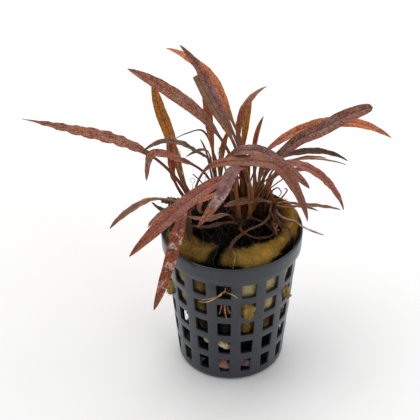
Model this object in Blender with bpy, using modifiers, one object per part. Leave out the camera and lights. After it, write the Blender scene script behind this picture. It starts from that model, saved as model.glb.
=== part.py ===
"""Potted tiger cryptocoryne: a net pot, a rock wool plug, a root ball and five crowns with their leaves.

The frame is +Z up with its origin at the middle of the pot's underside, +X to the viewer's right and +Y
away from the viewer. Sizes are in millimetres here, and MM turns them into Blender's metres.
"""

import math
from dataclasses import dataclass

import bmesh
import bpy
import numpy as np

MM = 0.001

# Net pot
RIM_RADIUS = 25.0
POT_HEIGHT = 55.0
BASE_RADIUS = 18.8
POT_WALL = 1.1
BAND_HEIGHT = 6.8
BAND_TAPER = 0.3
BAND_STEP = 0.8
BASE_ROUNDING = 1.6
POT_FACETS = 32
POT_SHARP_DEG = 40.0
WINDOW_ROWS = 5
WINDOW_HEIGHT = 6.1
WINDOW_PITCH = 9.1
TOP_WINDOW_EDGE = 46.6
WINDOW_TURN_DEG = -97.4
HUB_RADIUS = 6.0
SLOT_END_RADIUS = 14.5
SLOT_EVERY = 4

# Gap that pieces touching each other keep
TOUCH_GAP = 0.3

# Rock wool plug: a strip wrapped round the roots, its ends meeting in a seam at the front
WOOL_FOOT = 1.5
WOOL_FOOT_RADIUS = 13.5
WOOL_FULL_FROM = 26.0
WOOL_FOOT_BULGE = 1.0
WOOL_SIDE_HEIGHTS = (26.0, 38.0, 47.0)
WOOL_WALL_GAP = 0.7
WOOL_LIP_GAP = 1.5
WOOL_LIP = 52.5
WOOL_CREST = 56.0
WOOL_OUTER_SHOULDER = (1.2, 2.3)
WOOL_INNER_SHOULDER = (1.2, 1.2)
WOOL_LIP_LUMP_SHARE = 0.5
WOOL_SEAM_DEG = -108.0
WOOL_SEAM_HALF_DEG = 2.0
WOOL_STATIONS = 40
WOOL_LUMP = 0.7
HOLLOW_CENTRE = (1.0, 4.0)
HOLLOW_HALF_WIDTH = 15.5
HOLLOW_HALF_DEPTH = 12.5
HOLLOW_FOOT_SHARE = 0.62
HOLLOW_LOW_STEP = 46.5

# Root ball that fills the plug's hollow: rings at a height, each a share of the hollow's radius there
ROOT_BALL_STATIONS = 28
ROOT_BALL_RINGS = ((1.5, 0.9), (14.0, 1.0), (30.0, 1.0), (46.5, 1.0), (48.0, 0.97), (49.5, 0.6))

# Crowns
CROWN_STRETCH = 1.5
CROWN_SEGMENTS = 12
CROWN_RINGS = 8

# Leaves: the blade widens as a power of the distance from its foot times a power of that from its tip
LEAF_STATIONS = 12
BLADE_FOOT_POWER = 0.75
BLADE_TIP_POWER = 0.7
CUT_BLADE_SHARE = 0.8
CUT_BLADE_POWER = 0.7
TIP_FADE_FROM = 0.8
STALK_TO_BLADE = 0.15
STALK_HALF_WIDTH = 0.55
STALK_GAP = 0.6
STALK_HALF_THICKNESS = 0.45
BLADE_HALF_THICKNESS = 0.28
TIP_HALF_WIDTH = 0.12
FOLD_SLOPE = 0.2

# Colour and roughness of each kind of leaf
LEAF_LOOKS = {
    "red": ((0.2, 0.075, 0.05), 0.35),
    "ochre": ((0.33, 0.14, 0.05), 0.4),
    "grey": ((0.13, 0.09, 0.09), 0.3),
}

# Samples along each span of a leaf's or a root's path, before it is evened out
PATH_SAMPLES = 40
ROOT_STEPS = 5


@dataclass(frozen=True)
class Crown:
    """A short rhizome that a rosette of leaves grows from: its middle, and its radius level with that."""

    centre: tuple
    radius: float


@dataclass(frozen=True)
class Leaf:
    """One leaf with its stalk.

    foot is where it leaves the crown: the angle round it and the rise above its middle, in degrees. The
    midrib then passes through the points in turn and ends at the last. stalk is the share of the length that
    the stalk takes. face turns the blade's upper side to the viewer, in degrees. A cut leaf has lost its tip.
    kind names its colour.
    """

    crown: str
    foot: tuple
    points: tuple
    width: float
    stalk: float = 0.4
    face: float = 0.0
    cut: bool = False
    kind: str = "red"


@dataclass(frozen=True)
class Root:
    """A thick root that shows outside: the points it passes through, and its radius."""

    points: tuple
    radius: float


CROWNS = {
    "left": Crown((-13.5, 10.0, 55.0), 2.8),
    "middle": Crown((-5.0, 13.0, 53.5), 3.0),
    "centre": Crown((3.0, 7.5, 51.5), 3.6),
    "right": Crown((10.5, 11.5, 53.5), 3.2),
    "side": Crown((15.2, 8.0, 57.0), 2.0),
}

LEAVES = {
    # Centre crown: leaves that stand at the back, leaves that lean to the front, and two short low ones
    "leaf_upper_left": Leaf(
        "centre", (165, 50),
        ((-1, 12, 78), (-9, 16, 89), (-23, 19, 100), (-36, 21, 107)),
        width=4.8, stalk=0.42, face=30,
    ),
    "leaf_tall_orange": Leaf(
        "centre", (90, 40),
        ((4, 16, 78), (-2, 24, 92), (-9, 31, 99), (-23, 38, 105)),
        width=4.4, face=10, kind="ochre",
    ),
    "leaf_tall_dark": Leaf(
        "centre", (90, 75),
        ((3, 9, 81), (-4, 12, 97), (-10, 16, 108), (-18, 22, 116)),
        width=4.4, face=20, kind="grey",
    ),
    "leaf_tall_cut": Leaf(
        "centre", (130, 45),
        ((2, 14, 80), (-5, 20, 92), (-13, 26, 101)),
        width=4.6, face=20, cut=True, kind="grey",
    ),
    "leaf_upright_right": Leaf(
        "centre", (35, 50), ((5, 11, 74), (4, 15, 88), (6, 19, 96), (12, 24, 98)), width=3.6
    ),
    "leaf_folded_right": Leaf(
        "centre", (60, 20), ((4, 20, 68), (1, 25, 81), (3, 28, 87), (7, 31, 90)), width=3.0, kind="ochre"
    ),
    "leaf_front_big": Leaf(
        "centre", (-125, 55),
        ((2, 3, 74), (-4, -3, 77), (-14, -11, 75), (-25, -19, 69), (-35, -25, 61)),
        width=5.2, stalk=0.25, face=20, kind="grey",
    ),
    "leaf_front_centre": Leaf(
        "centre", (-55, 55),
        ((5, 3, 75), (3, -1, 81), (0, -8, 84), (-4, -16, 80), (-12, -23, 72)),
        width=5.0, stalk=0.3, kind="grey",
    ),
    "leaf_front_under": Leaf(
        "centre", (-165, 50),
        ((-2, 0, 71), (-9, -4, 70), (-18, -9, 70), (-29, -15, 66)),
        width=2.8, stalk=0.35,
    ),
    "leaf_low_band": Leaf(
        "centre", (-150, 14), ((-2, 2, 60), (-9, -3, 61), (-16, -4, 63)), width=2.4, stalk=0.3
    ),
    "leaf_low_front": Leaf(
        "centre", (-105, 8), ((-2, -3, 60), (-9, -7, 61), (-16, -8, 63)), width=2.0, stalk=0.3
    ),
    # Left crown
    "leaf_yellow_upright": Leaf(
        "left", (110, 50),
        ((-19, 17, 67), (-22, 24, 77), (-26, 29, 87), (-28, 33, 95)),
        width=4.2, stalk=0.3, kind="ochre",
    ),
    "leaf_red_upright": Leaf(
        "left", (150, 40), ((-22, 14, 65), (-23, 16, 73), (-24, 17, 81)), width=3.8, stalk=0.35
    ),
    "leaf_yellow_second": Leaf(
        "left", (40, 60), ((-17, 12, 66), (-19, 13, 75), (-21, 15, 83)), width=3.0, kind="ochre"
    ),
    "leaf_far_left": Leaf(
        "left", (185, 60),
        ((-22, 10, 72), (-29, 10, 79), (-41, 9, 86), (-55, 6, 92), (-71, 2, 99)),
        width=4.2, stalk=0.3, face=30,
    ),
    "leaf_front_arch": Leaf(
        "left", (-20, 60),
        (
            (-12, 7, 69), (-8, 5, 77), (3, 3, 81), (10, 1, 82), (15, -1, 82), (19, -4, 79), (23, -7, 73),
            (26, -9, 64),
        ),
        width=4.0, stalk=0.12, face=30,
    ),
    "leaf_front_hanging": Leaf(
        "left", (-90, 50),
        ((-16, 3, 62), (-17, -6, 65), (-19, -17, 63), (-22, -24, 55), (-27, -28, 40)),
        width=4.4, stalk=0.15, kind="ochre",
    ),
    "leaf_left_droop": Leaf(
        "left", (200, 40),
        ((-19, 9, 59), (-28, 8, 61), (-36, 4, 59), (-43, 0, 54)),
        width=2.8, stalk=0.3, face=10,
    ),
    "leaf_left_small": Leaf(
        "left", (230, 45), ((-19, 5, 59), (-24, 4, 59), (-28, 5, 62)), width=2.0, stalk=0.3
    ),
    # Middle crown
    "leaf_orange_upright": Leaf(
        "middle", (110, 65),
        ((-7, 17, 76), (-8, 20, 83), (-9, 23, 89), (-9, 26, 95)),
        width=3.8, stalk=0.35, kind="ochre",
    ),
    "leaf_kinked": Leaf(
        "middle", (200, 45),
        (
            (-10, 12, 70), (-14, 11, 74), (-19, 8, 78), (-24, 7, 81), (-27, 6, 81), (-29, 5, 78),
            (-30, 4, 72),
        ),
        width=3.2, stalk=0.3, face=20,
    ),
    "leaf_grey_left": Leaf(
        "middle", (140, 40),
        ((-8, 18, 71), (-13, 15, 77), (-18, 11, 83), (-24, 9, 85), (-31, 7, 82)),
        width=2.8, stalk=0.3, face=10, kind="grey",
    ),
    "leaf_thin_arc": Leaf(
        "middle", (75, 40),
        ((-6, 21, 71), (-11, 25, 79), (-16, 26, 77), (-20, 26, 75)),
        width=1.0, kind="grey",
    ),
    "leaf_narrow_grey": Leaf(
        "middle", (-130, 45), ((-7, 9, 75), (-9, 8, 82), (-16, 7, 80)), width=1.8, kind="grey"
    ),
    "leaf_spike": Leaf("middle", (180, 75), ((-8, 14, 72), (-9, 14, 77), (-11, 15, 82)), width=1.6),
    "leaf_short_yellow": Leaf(
        "middle", (25, 55), ((-4, 17, 67), (-3, 19, 76), (-1, 21, 82)), width=2.2, kind="ochre"
    ),
    "leaf_right_arch": Leaf(
        "middle", (-50, 55),
        ((-4, 9, 69), (-2, 8, 79), (3, 6, 84), (10, 6, 83), (16, 5, 79), (22, 3, 75), (27, 2, 70)),
        width=3.6, stalk=0.35, face=20,
    ),
    # Right crown
    "leaf_right_spike": Leaf(
        "right", (140, 50), ((8, 15, 70), (8, 18, 77), (11, 20, 88)), width=1.8, stalk=0.45, kind="ochre"
    ),
    "leaf_right_big": Leaf(
        "right", (0, 75),
        ((14, 13, 73), (19, 14, 78), (24, 15, 82), (31, 16, 85), (39, 18, 89), (49, 20, 92)),
        width=5.0, stalk=0.3, face=40, cut=True, kind="grey",
    ),
    "leaf_right_orange": Leaf(
        "right", (85, 55),
        ((10, 15, 67), (12, 18, 74), (18, 21, 78), (25, 24, 80), (32, 26, 81), (42, 27, 81), (57, 26, 75)),
        width=4.2, stalk=0.25, face=30, kind="ochre",
    ),
    "leaf_right_grey": Leaf(
        "right", (35, 50),
        ((15, 16, 72), (24, 17, 75), (33, 17, 75), (41, 16, 72)),
        width=3.2, stalk=0.35, face=10, kind="grey",
    ),
    "leaf_right_grey_low": Leaf(
        "right", (0, 40), ((17, 13, 71), (24, 13, 75), (33, 12, 76)), width=2.0, stalk=0.35, kind="grey"
    ),
    "leaf_right_thin": Leaf(
        "right", (50, 30), ((18, 18, 70), (26, 20, 70), (33, 21, 69), (41, 21, 67)), width=1.1, kind="grey"
    ),
    "leaf_right_arching": Leaf(
        "right", (-35, 50),
        ((14, 10, 73), (20, 9, 76), (25, 7, 76), (30, 5, 74), (35, 2, 70), (39, -1, 63)),
        width=3.6, stalk=0.3, face=20,
    ),
    "leaf_right_brown": Leaf(
        "right", (-50, 20), ((13, 9, 64), (16, 11, 70), (24, 12, 71), (35, 10, 68)), width=2.4, stalk=0.35
    ),
    # Side crown: the low leaves
    "leaf_low_brown": Leaf(
        "side", (190, 55),
        ((11, 6, 62), (5, 3, 64), (-3, 1, 63)),
        width=2.8, stalk=0.15, face=20, kind="ochre",
    ),
    "leaf_low_right": Leaf(
        "side", (10, 50), ((19, 6, 61), (24, 5, 61), (31, 4, 61), (38, 2, 61)), width=2.2, stalk=0.15
    ),
    "leaf_low_right_small": Leaf(
        "side", (-45, 50), ((19, 2, 62), (24, 1, 63), (30, 0, 62)), width=1.6, stalk=0.25
    ),
    "leaf_silver": Leaf(
        "side", (-70, 15),
        ((18, 1, 58), (22, -1, 58), (25, -3, 57), (32, -6, 56)),
        width=1.2, stalk=0.5, kind="grey",
    ),
    "leaf_small_red": Leaf("side", (220, 75), ((14, 6, 64), (12, 6, 71)), width=1.9, stalk=0.2),
    "leaf_fallen_front": Leaf(
        "side", (215, 15), ((11, -2, 58), (5, -8, 59), (0, -14, 58), (-1, -19, 57)), width=1.3, stalk=0.5
    ),
    "leaf_fallen_right": Leaf(
        "side", (-110, 25), ((17, -2, 58), (20, -6, 58), (20, -10, 57)), width=1.0, stalk=0.5
    ),
}

ROOTS = {
    "root_window_left": Root(
        (
            (-3.4, -21.9, 43.0), (-3.8, -23.4, 43.3), (-6.0, -24.6, 42.4), (-9.0, -25.0, 41.2),
            (-11.5, -24.6, 41.2),
        ),
        radius=0.25,
    ),
    "root_window_right": Root(
        ((-2.0, -21.9, 43.2), (-1.6, -23.4, 44.0), (0.3, -24.2, 43.6), (2.0, -24.4, 42.3)), radius=0.25
    ),
    "root_side": Root(
        (
            (13.9, 5.0, 56.6), (13.6, 2.0, 56.2), (14.4, -1.5, 56.9), (15.0, -5.5, 57.7),
            (15.6, -9.0, 57.5),
        ),
        radius=0.35,
    ),
    "root_curl": Root(
        (
            (17.4, 10.4, 58.0), (18.4, 12.4, 59.2), (19.8, 13.6, 60.4), (20.0, 13.4, 62.2),
            (18.4, 13.0, 62.8),
        ),
        radius=0.35,
    ),
}


def unit(vectors):
    """The vectors at unit length."""
    return vectors / np.linalg.norm(vectors, axis=-1, keepdims=True)


def smooth_path(points, count):
    """A curve through the points, as count points evenly spaced along it.

    Each span between two points is a cubic Hermite piece, with end directions that follow the points around.
    """
    points = np.asarray(points, float)
    spans = np.linalg.norm(np.diff(points, axis=0), axis=1)
    knots = np.concatenate([[0.0], np.cumsum(spans)])
    slopes = np.gradient(points, knots, axis=0, edge_order=2 if len(points) > 2 else 1)
    fine = np.linspace(0.0, knots[-1], PATH_SAMPLES * len(points))
    span = np.clip(np.searchsorted(knots, fine, side="right") - 1, 0, len(spans) - 1)
    width = spans[span][:, None]
    t = (fine - knots[span])[:, None] / width
    curve = (
        (2 * t**3 - 3 * t**2 + 1) * points[span]
        + (t**3 - 2 * t**2 + t) * width * slopes[span]
        + (3 * t**2 - 2 * t**3) * points[span + 1]
        + (t**3 - t**2) * width * slopes[span + 1]
    )
    run = np.concatenate([[0.0], np.cumsum(np.linalg.norm(np.diff(curve, axis=0), axis=1))])
    even = np.linspace(0.0, run[-1], count)
    return np.stack([np.interp(even, run, curve[:, k]) for k in range(3)], axis=1)


def midrib(leaf, count):
    """The leaf's centre line, from just outside its crown to its tip."""
    crown = CROWNS[leaf.crown]
    turn, rise = (math.radians(angle) for angle in leaf.foot)
    outwards = np.array([math.cos(turn) * math.cos(rise), math.sin(turn) * math.cos(rise), math.sin(rise)])
    radii = np.array([crown.radius, crown.radius, crown.radius * CROWN_STRETCH]) + STALK_GAP
    return smooth_path([crown.centre + outwards * radii, *leaf.points], count)


def blade_frame(path, face_deg):
    """The sideways and upper-face directions along a path.

    Sideways starts as the horizontal across the leaf's heading, so the upper face looks up where the leaf
    is level and back over its crown where it stands. face_deg then turns that face to the viewer.
    """
    up = np.array([0.0, 0.0, 1.0])
    tangent = unit(np.gradient(path, axis=0))
    heading = (path[-1] - path[0]) * (1.0, 1.0, 0.0)
    across = unit(np.cross(heading, up))
    side = unit(across - tangent * (tangent @ across)[:, None])
    normal = np.cross(side, tangent)
    turn = math.radians(face_deg) * math.copysign(1.0, across[1])
    return (
        side * math.cos(turn) + normal * math.sin(turn),
        normal * math.cos(turn) - side * math.sin(turn),
    )


def blade_half_width(share, leaf):
    """Half-widths at shares of the leaf's length: a narrow stalk, then a lance-shaped or a cut blade."""
    along = np.clip((share - leaf.stalk) / (1.0 - leaf.stalk), 0.0, 1.0)
    if leaf.cut:
        cut = np.sin(np.pi * CUT_BLADE_SHARE * along) ** CUT_BLADE_POWER
        return np.maximum(leaf.width / 2.0 * cut, STALK_HALF_WIDTH)
    widest = BLADE_FOOT_POWER / (BLADE_FOOT_POWER + BLADE_TIP_POWER)
    lance = (along / widest) ** BLADE_FOOT_POWER * ((1.0 - along) / (1.0 - widest)) ** BLADE_TIP_POWER
    half = leaf.width / 2.0 * lance
    fade = np.clip((share - TIP_FADE_FROM) / (1.0 - TIP_FADE_FROM), 0.0, 1.0)
    least = STALK_HALF_WIDTH * (1.0 - fade) + TIP_HALF_WIDTH * fade
    return np.maximum(half, least)


def leaf_sections(leaf, count=LEAF_STATIONS):
    """The leaf's solid as rows of four points: left edge, upper midrib, right edge and lower midrib."""
    path = midrib(leaf, count)
    side, normal = blade_frame(path, leaf.face)
    share = np.linspace(0.0, 1.0, count)
    half = blade_half_width(share, leaf)[:, None]
    blade = np.clip((share - leaf.stalk) / STALK_TO_BLADE, 0.0, 1.0)[:, None]
    thick = STALK_HALF_THICKNESS + (BLADE_HALF_THICKNESS - STALK_HALF_THICKNESS) * blade
    thick = np.minimum(thick, half)
    edge = normal * half * FOLD_SLOPE
    left = path - side * half + edge
    right = path + side * half + edge
    return np.stack([left, path + normal * thick, right, path - normal * thick], axis=1)


def loft_faces(rows, around):
    """Quads that join rows of points into a tube, with a face over each end."""
    faces = []
    for row in range(rows - 1):
        for k in range(around):
            after = (k + 1) % around
            low = row * around
            faces.append((low + k, low + after, low + around + after, low + around + k))
    faces.append(tuple(reversed(range(around))))
    faces.append(tuple((rows - 1) * around + k for k in range(around)))
    return faces


def wall_radius(height):
    """Outer radius of the pot's wall below the rim band."""
    return BASE_RADIUS + (RIM_RADIUS - BAND_STEP - BASE_RADIUS) * height / POT_HEIGHT


def hollow_radius(turn, height):
    """Radius of the plug's hollow round the pot's axis, at an angle and a height.

    The hollow is an ellipse off the axis, and the radius is where a ray from the axis meets it. It narrows
    downwards.
    """
    x, y = HOLLOW_CENTRE
    wide, deep = HOLLOW_HALF_WIDTH, HOLLOW_HALF_DEPTH
    c, s = np.cos(turn), np.sin(turn)
    a = (c / wide) ** 2 + (s / deep) ** 2
    b = c * x / wide**2 + s * y / deep**2
    d = (x / wide) ** 2 + (y / deep) ** 2 - 1.0
    mouth = (b + np.sqrt(b * b - a * d)) / a
    return mouth * (HOLLOW_FOOT_SHARE + (1.0 - HOLLOW_FOOT_SHARE) * height / WOOL_CREST)


def wool_lumps(turn):
    """Unevenness of the plug's crest round the pot, from -1 to 1: two slow waves and a quicker one."""
    return 0.5 * np.sin(3 * turn + 0.8) + 0.3 * np.sin(5 * turn + 2.1) + 0.2 * np.sin(11 * turn)


def wool_section(turn):
    """The plug's outline at an angle, as (radius, height) points.

    It goes up the outside from the foot, over the crest and down the hollow to the foot again.
    """
    lump = WOOL_LUMP * wool_lumps(turn)
    lip_height = WOOL_LIP + WOOL_LIP_LUMP_SHARE * lump
    side = [(wall_radius(z) - POT_WALL - WOOL_WALL_GAP, z) for z in WOOL_SIDE_HEIGHTS]
    waist = ((WOOL_FOOT_RADIUS + side[0][0]) / 2.0 + WOOL_FOOT_BULGE, (WOOL_FOOT + side[0][1]) / 2.0)
    outer = wall_radius(WOOL_LIP) - POT_WALL - WOOL_LIP_GAP
    inner = hollow_radius(turn, WOOL_LIP)
    hollow = [(hollow_radius(turn, z), z) for z in (HOLLOW_LOW_STEP, WOOL_FULL_FROM, WOOL_FOOT)]
    return [
        (WOOL_FOOT_RADIUS, WOOL_FOOT),
        waist,
        *side,
        (outer, lip_height),
        (outer - WOOL_OUTER_SHOULDER[0], WOOL_LIP + WOOL_OUTER_SHOULDER[1] + lump),
        ((outer + inner) / 2.0, WOOL_CREST + lump),
        (inner + WOOL_INNER_SHOULDER[0], WOOL_LIP + WOOL_INNER_SHOULDER[1] + lump),
        (inner, lip_height),
        *hollow,
    ]


def on_turn(radius, turn, height):
    """The point at a radius and an angle round the pot's axis, and a height."""
    return (radius * math.cos(turn), radius * math.sin(turn), height)


def wool_points():
    """Rows of the plug's outline, from one side of the seam round the pot to the other."""
    start = math.radians(WOOL_SEAM_DEG + WOOL_SEAM_HALF_DEG)
    end = math.radians(WOOL_SEAM_DEG + 360.0 - WOOL_SEAM_HALF_DEG)
    turns = np.linspace(start, end, WOOL_STATIONS)
    return [[on_turn(r, turn, z) for r, z in wool_section(turn)] for turn in turns]


def root_ball_points():
    """Rings of the root ball, from its foot to its top."""
    rings = []
    for height, share in ROOT_BALL_RINGS:
        ring = []
        for k in range(ROOT_BALL_STATIONS):
            turn = 2.0 * math.pi * k / ROOT_BALL_STATIONS
            radius = hollow_radius(turn, height) * share - 2.0 * TOUCH_GAP
            ring.append(on_turn(radius, turn, height))
        rings.append(ring)
    return rings


def clear_scene():
    """Takes every object out of the scene."""
    for obj in list(bpy.data.objects):
        bpy.data.objects.remove(obj, do_unlink=True)


def new_collection(name):
    """A collection in the scene."""
    collection = bpy.data.collections.new(name)
    bpy.context.scene.collection.children.link(collection)
    return collection


def new_material(name, colour, roughness):
    """A plain material of one colour."""
    material = bpy.data.materials.new(name)
    material.use_nodes = True
    shader = material.node_tree.nodes["Principled BSDF"]
    shader.inputs["Base Color"].default_value = (*colour, 1.0)
    shader.inputs["Roughness"].default_value = roughness
    shader.inputs["Metallic"].default_value = 0.0
    material.diffuse_color = (*colour, 1.0)
    return material


def new_object(name, mesh, collection, material):
    """An object with this mesh and material, in the collection."""
    obj = bpy.data.objects.new(name, mesh)
    collection.objects.link(obj)
    mesh.materials.append(material)
    return obj


def loft_mesh(name, rows):
    """A closed mesh over rows of points, each row a ring, with outward faces."""
    rows = np.asarray(rows, float) * MM
    mesh = bpy.data.meshes.new(name)
    mesh.from_pydata(rows.reshape(-1, 3).tolist(), [], loft_faces(rows.shape[0], rows.shape[1]))
    cage = bmesh.new()
    cage.from_mesh(mesh)
    bmesh.ops.recalc_face_normals(cage, faces=cage.faces)
    cage.to_mesh(mesh)
    cage.free()
    return mesh


def pot_profile():
    """The pot's outer line as (radius, height) points, from the rim down to the middle of the underside."""
    band_foot = POT_HEIGHT - BAND_HEIGHT
    line = [(RIM_RADIUS, POT_HEIGHT), (RIM_RADIUS - BAND_TAPER, band_foot)]
    line.append((wall_radius(band_foot), band_foot - BAND_TAPER))
    for row in range(WINDOW_ROWS):
        top = TOP_WINDOW_EDGE - row * WINDOW_PITCH
        line.append((wall_radius(top), top))
        line.append((wall_radius(top - WINDOW_HEIGHT), top - WINDOW_HEIGHT))
    for step in range(3):
        turn = math.radians(45.0 * step)
        radius = wall_radius(BASE_ROUNDING) - BASE_ROUNDING * (1.0 - math.cos(turn))
        line.append((radius, BASE_ROUNDING * (1.0 - math.sin(turn))))
    line += [(SLOT_END_RADIUS, 0.0), (HUB_RADIUS, 0.0), (0.0, 0.0)]
    return line


def is_opening(face, facet):
    """Whether a face of the pot's skin is one of its windows or base slots."""
    middle = face.calc_center_median() / MM
    if middle.z < TOUCH_GAP:
        in_ring = HUB_RADIUS < math.hypot(middle.x, middle.y) < SLOT_END_RADIUS
        return facet % SLOT_EVERY == 0 and in_ring
    below_top = TOP_WINDOW_EDGE - middle.z
    in_row = 0.0 < below_top < WINDOW_ROWS * WINDOW_PITCH and below_top % WINDOW_PITCH < WINDOW_HEIGHT
    return facet % 2 == 0 and in_row


def make_pot(collection, material):
    """The net pot: a turned skin with every second facet opened in each window row, thickened inwards."""
    profile = pot_profile()
    mesh = bpy.data.meshes.new("pot_profile")
    points = [(radius * MM, 0.0, height * MM) for radius, height in profile]
    mesh.from_pydata(points, [(k, k + 1) for k in range(len(points) - 1)], [])
    turned = bpy.data.objects.new("pot_profile", mesh)
    collection.objects.link(turned)
    screw = turned.modifiers.new("turn", "SCREW")
    screw.steps = POT_FACETS
    screw.render_steps = POT_FACETS
    screw.use_merge_vertices = True
    screw.merge_threshold = 0.00001
    graph = bpy.context.evaluated_depsgraph_get()
    skin = bpy.data.meshes.new_from_object(turned.evaluated_get(graph))
    bpy.data.objects.remove(turned)

    facet_turn = 2.0 * math.pi / POT_FACETS
    cage = bmesh.new()
    cage.from_mesh(skin)
    openings = []
    for face in cage.faces:
        middle = face.calc_center_median()
        facet = int(math.atan2(middle.y, middle.x) / facet_turn % POT_FACETS)
        if is_opening(face, facet):
            openings.append(face)
    bmesh.ops.delete(cage, geom=openings, context="FACES")
    cage.to_mesh(skin)
    cage.free()
    skin.shade_smooth()
    skin.set_sharp_from_angle(angle=math.radians(POT_SHARP_DEG))

    pot = new_object("net_pot", skin, collection, material)
    pot.rotation_euler.z = math.radians(WINDOW_TURN_DEG) - facet_turn / 2.0
    solidify = pot.modifiers.new("wall", "SOLIDIFY")
    solidify.thickness = POT_WALL * MM
    solidify.offset = -1.0
    solidify.use_even_offset = True
    return pot


def crown_mesh(crown, grow):
    """An upright ellipsoid for a crown, made larger all round by grow."""
    level = (crown.radius + grow) * MM
    upright = (crown.radius * CROWN_STRETCH + grow) * MM
    cage = bmesh.new()
    bmesh.ops.create_uvsphere(cage, u_segments=CROWN_SEGMENTS, v_segments=CROWN_RINGS, radius=1.0)
    bmesh.ops.scale(cage, vec=(level, level, upright), verts=cage.verts)
    mesh = bpy.data.meshes.new("crown")
    cage.to_mesh(mesh)
    cage.free()
    return mesh


def make_crowns(collection, cutters, material):
    """The crowns, each with a slightly larger cutter for its pocket in the wool and the root ball."""
    pockets = []
    for name, crown in CROWNS.items():
        place = [value * MM for value in crown.centre]
        obj = new_object(f"crown_{name}", crown_mesh(crown, 0.0), collection, material)
        obj.location = place
        obj.data.shade_smooth()
        pocket = bpy.data.objects.new(f"pocket_{name}", crown_mesh(crown, TOUCH_GAP))
        cutters.objects.link(pocket)
        pocket.location = place
        pocket.hide_render = True
        pocket.display_type = "WIRE"
        pockets.append(pocket)
    return pockets


def cut_pockets(obj, pockets):
    """Cuts the crowns' pockets out of an object."""
    for pocket in pockets:
        cut = obj.modifiers.new(pocket.name, "BOOLEAN")
        cut.operation = "DIFFERENCE"
        cut.object = pocket


def make_leaves(collection):
    """Every leaf with its stalk, as a loft of four-pointed sections along its midrib."""
    materials = {kind: new_material(f"leaf_{kind}", *look) for kind, look in LEAF_LOOKS.items()}
    for name, leaf in LEAVES.items():
        mesh = loft_mesh(name, leaf_sections(leaf))
        new_object(name, mesh, collection, materials[leaf.kind])


def make_roots(collection, material):
    """The thick roots, as bevelled curves with filled ends."""
    for name, root in ROOTS.items():
        path = smooth_path(root.points, ROOT_STEPS * len(root.points)) * MM
        curve = bpy.data.curves.new(name, "CURVE")
        curve.dimensions = "3D"
        curve.bevel_depth = root.radius * MM
        curve.bevel_resolution = 1
        curve.use_fill_caps = True
        spline = curve.splines.new("POLY")
        spline.points.add(len(path) - 1)
        for point, place in zip(spline.points, path):
            point.co = (*place, 1.0)
        obj = bpy.data.objects.new(name, curve)
        collection.objects.link(obj)
        curve.materials.append(material)


def main():
    """Builds the potted plant."""
    clear_scene()
    plant = new_collection("potted_tiger_cryptocoryne")
    cutters = new_collection("cutters")
    cutters.hide_render = True

    make_pot(plant, new_material("pot_plastic", (0.045, 0.055, 0.075), 0.4))
    pockets = make_crowns(plant, cutters, new_material("rhizome", (0.12, 0.08, 0.04), 0.7))
    wool_mesh = loft_mesh("rock_wool", wool_points())
    wool = new_object("rock_wool", wool_mesh, plant, new_material("wool", (0.3, 0.24, 0.1), 0.95))
    cut_pockets(wool, pockets)
    ball_mesh = loft_mesh("root_ball", root_ball_points())
    ball = new_object("root_ball", ball_mesh, plant, new_material("root_mass", (0.05, 0.035, 0.02), 0.9))
    cut_pockets(ball, pockets)
    make_leaves(plant)
    make_roots(plant, new_material("root", (0.6, 0.5, 0.35), 0.6))


if __name__ == "__main__":
    main()
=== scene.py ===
"""Potted tiger cryptocoryne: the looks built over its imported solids.

Sizes are in millimetres in the solids' frame, and MM turns them into metres. +Z is up, +X is to the viewer's
right and +Y is away from the viewer. The order is: surfaces, shader nodes, finishes, the plant's parts, the
studio, and main.
"""

from __future__ import annotations

import logging
import math
from collections.abc import Iterable, Sequence
from dataclasses import dataclass
from enum import Enum
from functools import cache
from itertools import product
from typing import ClassVar

import bpy
import numpy as np
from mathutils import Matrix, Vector
from numpy.typing import NDArray


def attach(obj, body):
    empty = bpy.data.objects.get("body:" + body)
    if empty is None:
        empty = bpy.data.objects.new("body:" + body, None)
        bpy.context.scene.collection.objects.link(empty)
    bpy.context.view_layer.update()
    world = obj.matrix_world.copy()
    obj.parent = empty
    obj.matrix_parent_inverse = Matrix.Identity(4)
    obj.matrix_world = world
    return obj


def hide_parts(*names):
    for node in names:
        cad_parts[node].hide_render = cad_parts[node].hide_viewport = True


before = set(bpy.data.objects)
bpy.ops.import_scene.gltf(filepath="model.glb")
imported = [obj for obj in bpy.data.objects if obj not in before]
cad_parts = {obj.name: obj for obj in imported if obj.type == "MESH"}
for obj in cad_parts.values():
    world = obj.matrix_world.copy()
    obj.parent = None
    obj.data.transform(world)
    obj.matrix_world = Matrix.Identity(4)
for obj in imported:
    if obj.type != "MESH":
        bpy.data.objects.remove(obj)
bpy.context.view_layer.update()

LOG = logging.getLogger("potted_tiger_cryptocoryne")
Array = NDArray[np.float64]
Faces = NDArray[np.int64]
Triple = tuple[float, float, float]
Material = bpy.types.Material
Socket = bpy.types.NodeSocket
# Inputs of a node by name or number, each with a socket to join or a value to set
Inputs = dict[str | int, object]
# Red, green and blue as sRGB from 0 to 255
Colour = tuple[int, int, int]

MM = 0.001
BODY = "root"
UP = np.array([0.0, 0.0, 1.0])
LEVEL = np.array([1.0, 1.0, 0.0])
CROWN_STRETCH = 1.5
HASH_STEPS = np.array([73856093, 19349663, 83492791])
HASH_SEED_STEP = 2654435
HASH_MIX = 1274126177


# Surfaces


def unit(vectors: Array) -> Array:
    """Gives the vectors at unit length."""
    return vectors / np.maximum(np.linalg.norm(vectors, axis=-1, keepdims=True), 1e-9)


def smoothstep(values: Array, low: float, high: float) -> Array:
    """Rises smoothly from 0 at low to 1 at high, as 3t^2 - 2t^3."""
    t = np.clip((values - low) / (high - low), 0.0, 1.0)
    return t * t * (3.0 - 2.0 * t)


def joined(*columns: Array | float) -> Array:
    """Puts columns side by side in a last axis, each spread over the shape of all."""
    return np.stack(np.broadcast_arrays(*columns), axis=-1)


def round_turns(count: int) -> Array:
    """Even turns round a circle, in radians."""
    return 2.0 * np.pi * np.arange(count) / count


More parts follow.
